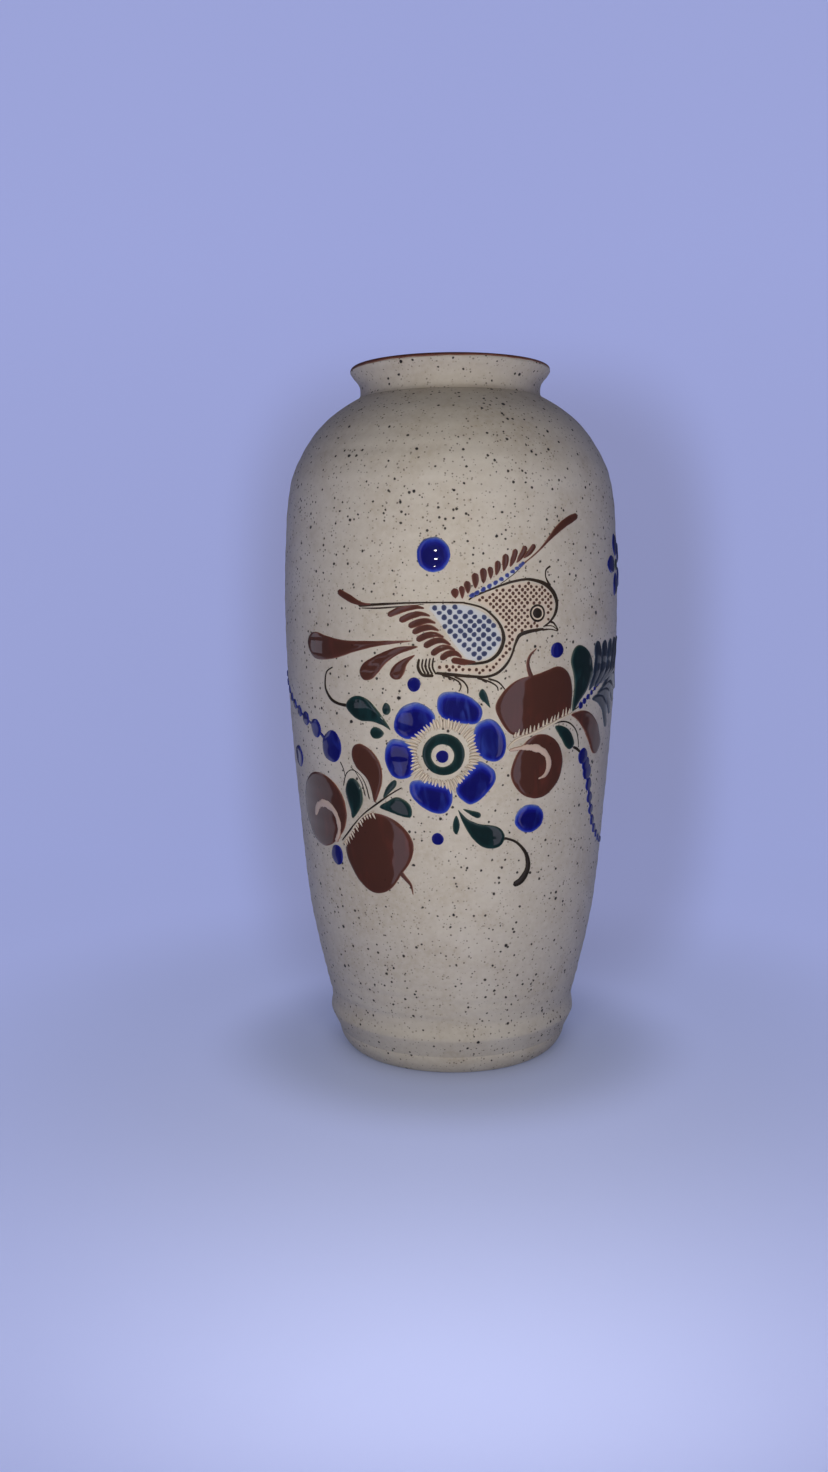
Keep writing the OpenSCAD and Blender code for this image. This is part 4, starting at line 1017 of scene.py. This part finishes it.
def comb(batch, curve, n, direction, length, seed=0):
    c = spline_open(curve, 12)
    for i in range(n):
        q = c[int((i + 0.5) / n * (len(c) - 1))]
        a = direction + rng.uniform(-8, 8)
        L = length * rng.uniform(0.7, 1.2)
        e = q + L * np.array([math.cos(math.radians(a)), math.sin(math.radians(a))])
        trail(batch, [q, (q + e) / 2, e], [1.15, 0.85, 0.3], 0.3, rows=3, step=0.5, seed=seed + i, base=0.3)
comb(bt, [(21, 124), (26, 124.9), (32, 127), (38, 129.2), (43.6, 130.8)], 15, 84, 3.0, 100)
comb(bt, [(-43.2, 85.8), (-40, 89.2), (-36.5, 93), (-33, 96.2), (-29, 98)], 14, -62, 2.4, 200)
comb(bt, [(-43, 102.6), (-41.6, 97.6), (-42.6, 92), (-45.4, 87.4)], 0, 180, 1.8, 300)
# slip hooks trailed over the scrolled buds
bh = Batch()
trail(bh, [(19.4, 119.7), (25, 120.5), (30, 119.9), (33.9, 117.4), (35.1, 113.8), (33.9, 110.6), (30.8, 109.3)], [1.2, 2.0, 2.4, 2.3, 2.1, 1.7, 1.1], 0.2, rows=4, base=0.34, seed=9, jitter=0.16)
trail(bh, [(-60, 93.4), (-57.6, 97), (-53, 98.7), (-48.2, 97.2), (-45.5, 93.2), (-45.6, 89.2), (-47.8, 85.4)], [1.7, 2.9, 3.2, 3.1, 2.8, 2.4, 1.6], 0.2, rows=4, base=0.34, seed=10, jitter=0.16)
# the long combed line from the upper bud to the flower, and its twin below
trail(bt, [(18.6, 120.4), (22, 123.2), (28, 125), (34, 127.2), (40, 129.4), (46, 131.2)], [0.5, 0.9, 1.0, 1.0, 0.9, 0.4], 0.22, rows=3, base=0.1)
trail(bt, [(-44.6, 85), (-40.4, 89), (-36.8, 92.8), (-33.4, 96), (-28.6, 98.4)], [0.5, 0.9, 1.0, 0.9, 0.4], 0.22, rows=3, base=0.1)
finish_piece(bt.build("combed_slip", MAT["cream"]), "pale_wash")
finish_piece(bh.build("slip_hooks", MAT["hook"]), "pale_wash")

# ------------------------------------------------------------------ dots and beads
bt = Batch()
bs = Batch()
for s, z, a, b in ((-6, 185, 5.5, 5.8), (37, 153, 2.7, 2.7), (-12.6, 142.3, 2.2, 2.5), (-5.3, 89.6, 2.2, 2.1), (28.5, 95.6, 6, 5),
                   (-48, 80.6, 3.4, 3.6), (-72, 113.6, 4.2, 4), (-100, 88, 3.4, 3.4), (118, 150, 3.2, 3.2), (-112, 168, 3.6, 3.6),
                   (150, 186, 4.4, 4.6), (152, 78, 3, 3)):
    if a > 4.5:
        patch(bt, circle(s, z, a, b), 0.62, 1.7, 0.7, seed=int(z), lump=0.0, wobble=0.3, thin=0.5)
    else:
        dome(bs, s, z, a, b, 0.6, seg=36, rows=9, seed=3)
finish_piece(bt.build("big_blue_dots_enamel", MAT["cobalt"]), "cobalt_enamel", "blue_dots")
finish_piece(bs.build("small_blue_dots_enamel", MAT["bead"]), "cobalt_enamel")

bt = Batch()
LEFT = [(-46.5, 119.6, 5.6), (-55, 125.4, 3.4), (-61.8, 128.2, 2.6), (-67.2, 130.4, 2.1), (-71.8, 132.6, 1.8), (-76, 134.8, 1.6), (-80, 137.2, 1.5), (-83.8, 139.8, 1.4), (-87.4, 142.6, 1.3)]
RIGHT = [(53, 115.2, 3.1), (55.2, 112.2, 2.6), (56.6, 109.4, 3.1), (58.4, 104.6, 2.4), (60.2, 99.6, 2.2), (62.2, 95, 2), (64.4, 90.8, 1.9), (67.2, 87.4, 1.7), (70.4, 84.8, 1.5), (74, 82.8, 1.4), (77.8, 81.4, 1.3), (81.6, 80.6, 1.2)]
for s, z, r in LEFT + RIGHT:
    dome(bt, s, z, r * 0.92, r, 0.5, seg=28, rows=7, seed=5, wob=0.08)
for p, w in ((LEFT, [1.6, 1.3, 1.0, 0.8, 0.7]), (RIGHT, [3.0, 2.0, 1.4, 1.0, 0.8])):
    trail(bt, [(s, z) for s, z, r in p], w, 0.3, rows=3)
for i in range(6):
    dome(bt, 49.6 + 2.1 * i, 133.4 + 1.35 * i, 1.25 - 0.1 * i, 1.25 - 0.1 * i, 0.4, seg=16, rows=5, seed=i)
finish_piece(bt.build("bead_strings_enamel", MAT["bead"]), "cobalt_enamel", "bead_strings")

# ------------------------------------------------------------------ side and back
bt = Batch()
for i in range(5):
    a = 180 + 72 * i
    dome(bt, 79 + 8 * math.cos(math.radians(a)), 182 + 7.4 * math.sin(math.radians(a)), 4.1, 3.3, 0.55, tilt=a, seg=32, rows=8, seed=i, wob=0.08)
finish_piece(bt.build("side_flower_enamel", MAT["bead"]), "cobalt_enamel", "side_flower")
bt = Batch()
dome(bt, 79, 182, 2.2, 2.2, 0.45, seg=28, rows=7)
patch(bt, circle(188, 128, 5), 0.5, 1.0, 0.7, holes=[circle(188, 128, 2.4)], seed=131)
finish_piece(bt.build("flower_eyes_enamel", MAT["green"]), "green_enamel")
bt = Batch()
for i in range(6):
    a = 30 + 60 * i
    patch(bt, circle(188 + 12 * math.cos(math.radians(a)), 128 + 12 * math.sin(math.radians(a)), 5.4, 4.6, a), 0.6, 1.6, 0.8, seed=140 + i, wobble=0.4)
dome(bt, 188, 128, 1.5, 1.5, 0.45, seg=24, rows=6)
finish_piece(bt.build("back_flower_enamel", MAT["cobalt"]), "cobalt_enamel", "back_flower")


def leaf(batch, r, e, w, bend, H, seed=0):
    r, e = np.array(r, float), np.array(e, float)
    d = (e - r) / np.hypot(*(e - r))
    n = np.array([-d[1], d[0]])
    trail(batch, [r, (2 * r + e) / 3 + n * bend, (r + 2 * e) / 3 + n * bend, e], [0.3, 0.35 * w, 0.75 * w, w, w, 0.8 * w], H, rows=6, step=0.7, seed=seed)


bt = Batch()
bw = Batch()
bs = Batch()
for m in (-1, 1):
    leaf(bt, (188 + m * 19, 134), (188 + m * 42, 146), 8, m * 2, 0.5, 1)
    leaf(bt, (188 + m * 19, 112), (188 + m * 36, 98), 7, -m * 2, 0.5, 2)
    leaf(bw, (188 + m * 21, 125), (188 + m * 46, 123), 10, m * 2, 0.42, 3)
    leaf(bw, (188 + m * 8, 110), (188 + m * 14, 84), 9, -m * 2, 0.42, 4)
for m in (-1, 0, 1):
    leaf(bs, (188 + m * 5, 147), (188 + m * 17, 172 - 4 * abs(m)), 6, m * 1.5, 0.45, 5)
finish_piece(bt.build("back_green_leaves_enamel", MAT["green"]), "green_enamel", "back_leaves")
finish_piece(bw.build("back_brown_leaves_enamel", MAT["brown"]), "brown_enamel")
finish_piece(bs.build("back_slate_leaves_enamel", MAT["slate"]), "slate_enamel")

# ------------------------------------------------------------------ stage, lights, camera
def stage_material():
    m, nt, b = new_mat("pale_stage_painted_shadow")
    b.inputs["Base Color"].default_value = (0.34, 0.365, 0.50, 1)
    b.inputs["Roughness"].default_value = 0.9
    b.inputs["Specular IOR Level"].default_value = 0.0
    flat = nt.nodes.new("ShaderNodeVectorMath")
    flat.operation = "MULTIPLY"
    flat.inputs[1].default_value = (1, 1, 0)
    nt.links.new(coords(nt), flat.inputs[0])
    away = nt.nodes.new("ShaderNodeVectorMath")
    away.operation = "LENGTH"
    nt.links.new(flat.outputs[0], away.inputs[0])
    # the stage's own glow, darker close to the pot's foot: a painted contact shadow
    glow_painted_contact_shade = ramp(nt, away.outputs["Value"], [(0.03, (0.06, 0.065, 0.09, 1)), (0.055, (0.11, 0.125, 0.19, 1)), (0.10, (0.20, 0.225, 0.37, 1)),
                                            (0.25, (0.25, 0.28, 0.49, 1)), (0.9, (0.275, 0.305, 0.545, 1))], "EASE")
    # painted soft shadow of the pot on the sweep, laid into the emission where the light in front would throw it back
    xyz = nt.nodes.new("ShaderNodeSeparateXYZ")
    nt.links.new(coords(nt), xyz.inputs[0])

    def calc(op, a, c):
        n = nt.nodes.new("ShaderNodeMath")
        n.operation = op
        for k, val in enumerate((a, c)):
            if isinstance(val, (int, float)):
                n.inputs[k].default_value = val
            else:
                nt.links.new(val, n.inputs[k])
        return n.outputs[0]

    depth = calc("ADD", xyz.outputs["Y"], 0.4916)
    u = calc("DIVIDE", calc("ADD", calc("DIVIDE", calc("ADD", xyz.outputs["X"], 0.004), depth), -0.03), 0.185)
    w = calc("DIVIDE", calc("ADD", calc("DIVIDE", calc("ADD", xyz.outputs["Z"], -0.1756), depth), 0.084), 0.25)
    u2, w2 = calc("MULTIPLY", u, u), calc("MULTIPLY", w, w)
    far = calc("POWER", calc("ADD", calc("MULTIPLY", u2, u2), calc("MULTIPLY", w2, w2)), 0.25)
    painted_pot_shadow = ramp(nt, calc("MULTIPLY", far, 0.5), [(0.40, (0.76, 0.73, 0.68, 1)), (0.55, (1, 1, 1, 1))], "EASE")
    both = nt.nodes.new("ShaderNodeVectorMath")
    both.operation = "MULTIPLY"
    nt.links.new(glow_painted_contact_shade, both.inputs[0])
    nt.links.new(painted_pot_shadow, both.inputs[1])
    nt.links.new(both.outputs[0], b.inputs["Emission Color"])
    b.inputs["Emission Strength"].default_value = 1.0
    return m


def cyclorama():
    prof = [(-1.6, 0.0), (-0.6, 0.0), (0.0, 0.0), (0.35, 0.0)]
    R = 0.5
    for i in range(1, 17):
        a = math.radians(90 * i / 16)
        prof.append((0.35 + R * math.sin(a), R - R * math.cos(a)))
    prof += [(0.85, 1.0), (0.85, 2.2)]
    xs = (-2.2, -0.8, 0, 0.8, 2.2)
    v = [(x, y, z) for (y, z) in prof for x in xs]
    f = []
    for i in range(len(prof) - 1):
        for j in range(len(xs) - 1):
            a = i * len(xs) + j
            f.append((a, a + 1, a + len(xs) + 1, a + len(xs)))
    o = make_object("stage_sweep", v, f, stage_material())
    return o


stage = cyclorama()
stage.visible_glossy = False
stage.visible_shadow = False


def surround():
    # pale round wall beyond the sweep, seen only by the camera
    n, R = 72, 1.55
    v = [(R * math.cos(2 * math.pi * i / n), R * math.sin(2 * math.pi * i / n), z) for z in (0.0, 2.2) for i in range(n)]
    f = [(i, (i + 1) % n, n + (i + 1) % n, n + i) for i in range(n)]
    m, nt, b = new_mat("pale_wall")
    b.inputs["Base Color"].default_value = (0.0, 0.0, 0.0, 1)
    b.inputs["Specular IOR Level"].default_value = 0.0
    b.inputs["Emission Color"].default_value = (0.30, 0.335, 0.60, 1)
    b.inputs["Emission Strength"].default_value = 1.0
    return make_object("stage_wall", v, f, m)


wall_ring = surround()
wall_ring.visible_glossy = False
wall_ring.visible_diffuse = False
wall_ring.visible_transmission = False
wall_ring.visible_shadow = False


def area(name, loc, target, size, power, color, size_y=None, glossy=True, diffuse=True):
    l = bpy.data.lights.new(name, "AREA")
    l.energy = power
    l.color = color
    l.size = size
    if size_y:
        l.shape = "RECTANGLE"
        l.size_y = size_y
    o = bpy.data.objects.new(name, l)
    bpy.context.scene.collection.objects.link(o)
    o.location = loc
    o.rotation_euler = (Vector(target) - Vector(loc)).to_track_quat("-Z", "Y").to_euler()
    o.visible_glossy = glossy
    o.visible_diffuse = diffuse
    o.visible_camera = False
    return o


area("key", (0.0, -0.27, 0.154), (0, 0, 0.136), 0.12, 0.365, (1.0, 0.975, 0.905), size_y=0.20, glossy=False)
area("fill_top", (0.0, -0.5, 1.5), (0, 0, 0.1), 1.4, 1.1, (0.86, 0.88, 1.0), glossy=False)
area("spark", (-0.099, -0.59, 0.23), (0, 0, 0.15), 0.014, 0.06, (1.0, 0.97, 0.92), diffuse=False)


def strip(name, az_deg, dist, width, height, zc, radiance, color):
    """A tall soft panel facing the pot, as bright as said, seen mirrored in the enamels."""
    a = math.radians(az_deg)
    loc = (dist * math.sin(a), -dist * math.cos(a), zc)
    return area(name, loc, (0, 0, zc * 0.6 + 0.05), width, radiance * math.pi * width * height, color, size_y=height, diffuse=False)


strip("band_right", 39, 0.9, 0.30, 1.1, 0.25, 1.0, (0.86, 0.80, 1.0))
strip("band_left", -35.5, 0.9, 0.24, 0.74, 0.43, 0.9, (0.86, 0.80, 1.0))
strip("band_left_low", -35.5, 0.9, 0.24, 0.40, -0.24, 0.9, (0.86, 0.80, 1.0))
strip("back_right", 131, 0.95, 0.85, 0.42, -0.145, 0.30, (0.80, 0.82, 1.0))
strip("low_left", -55, 0.9, 0.38, 0.045, 0.068, 0.85, (0.86, 0.80, 1.0))
strip("side_left", -101, 0.95, 0.22, 0.50, 0.31, 0.8, (0.80, 0.82, 1.0))
strip("back_left", -119.5, 0.95, 0.83, 0.60, -0.31, 0.48, (0.80, 0.82, 1.0))

world = bpy.data.worlds.new("soft_world")
bpy.context.scene.world = world
world.use_nodes = True
bg = world.node_tree.nodes.get("Background")
bg.inputs[0].default_value = (0.60, 0.66, 1.0, 1)
bg.inputs[1].default_value = 0.07
bpy.context.scene.view_settings.view_transform = "Standard"

yaw, pitch, roll = math.radians(1.17), math.radians(-6.67), math.radians(-0.34)
cy, sy, cp, sp = math.cos(yaw), math.sin(yaw), math.cos(pitch), math.sin(pitch)
fwd = Vector((-sy * cp, cy * cp, sp))
right = Vector((cy, sy, 0))
up = right.cross(fwd)
cr, sr = math.cos(roll), math.sin(roll)
right2 = cr * right + sr * up
up2 = -sr * right + cr * up
cam = bpy.data.cameras.new("camera")
cam.sensor_width = 36
cam.sensor_fit = "AUTO"
cam.lens = 1303 / 1472 * 36
cam.clip_start = 0.02
co = bpy.data.objects.new("camera", cam)
bpy.context.scene.collection.objects.link(co)
M = Matrix((right2, up2, -fwd)).transposed().to_4x4()
M.translation = Vector((-0.004, -0.4916, 0.1756))
co.matrix_world = M
bpy.context.scene.camera = co
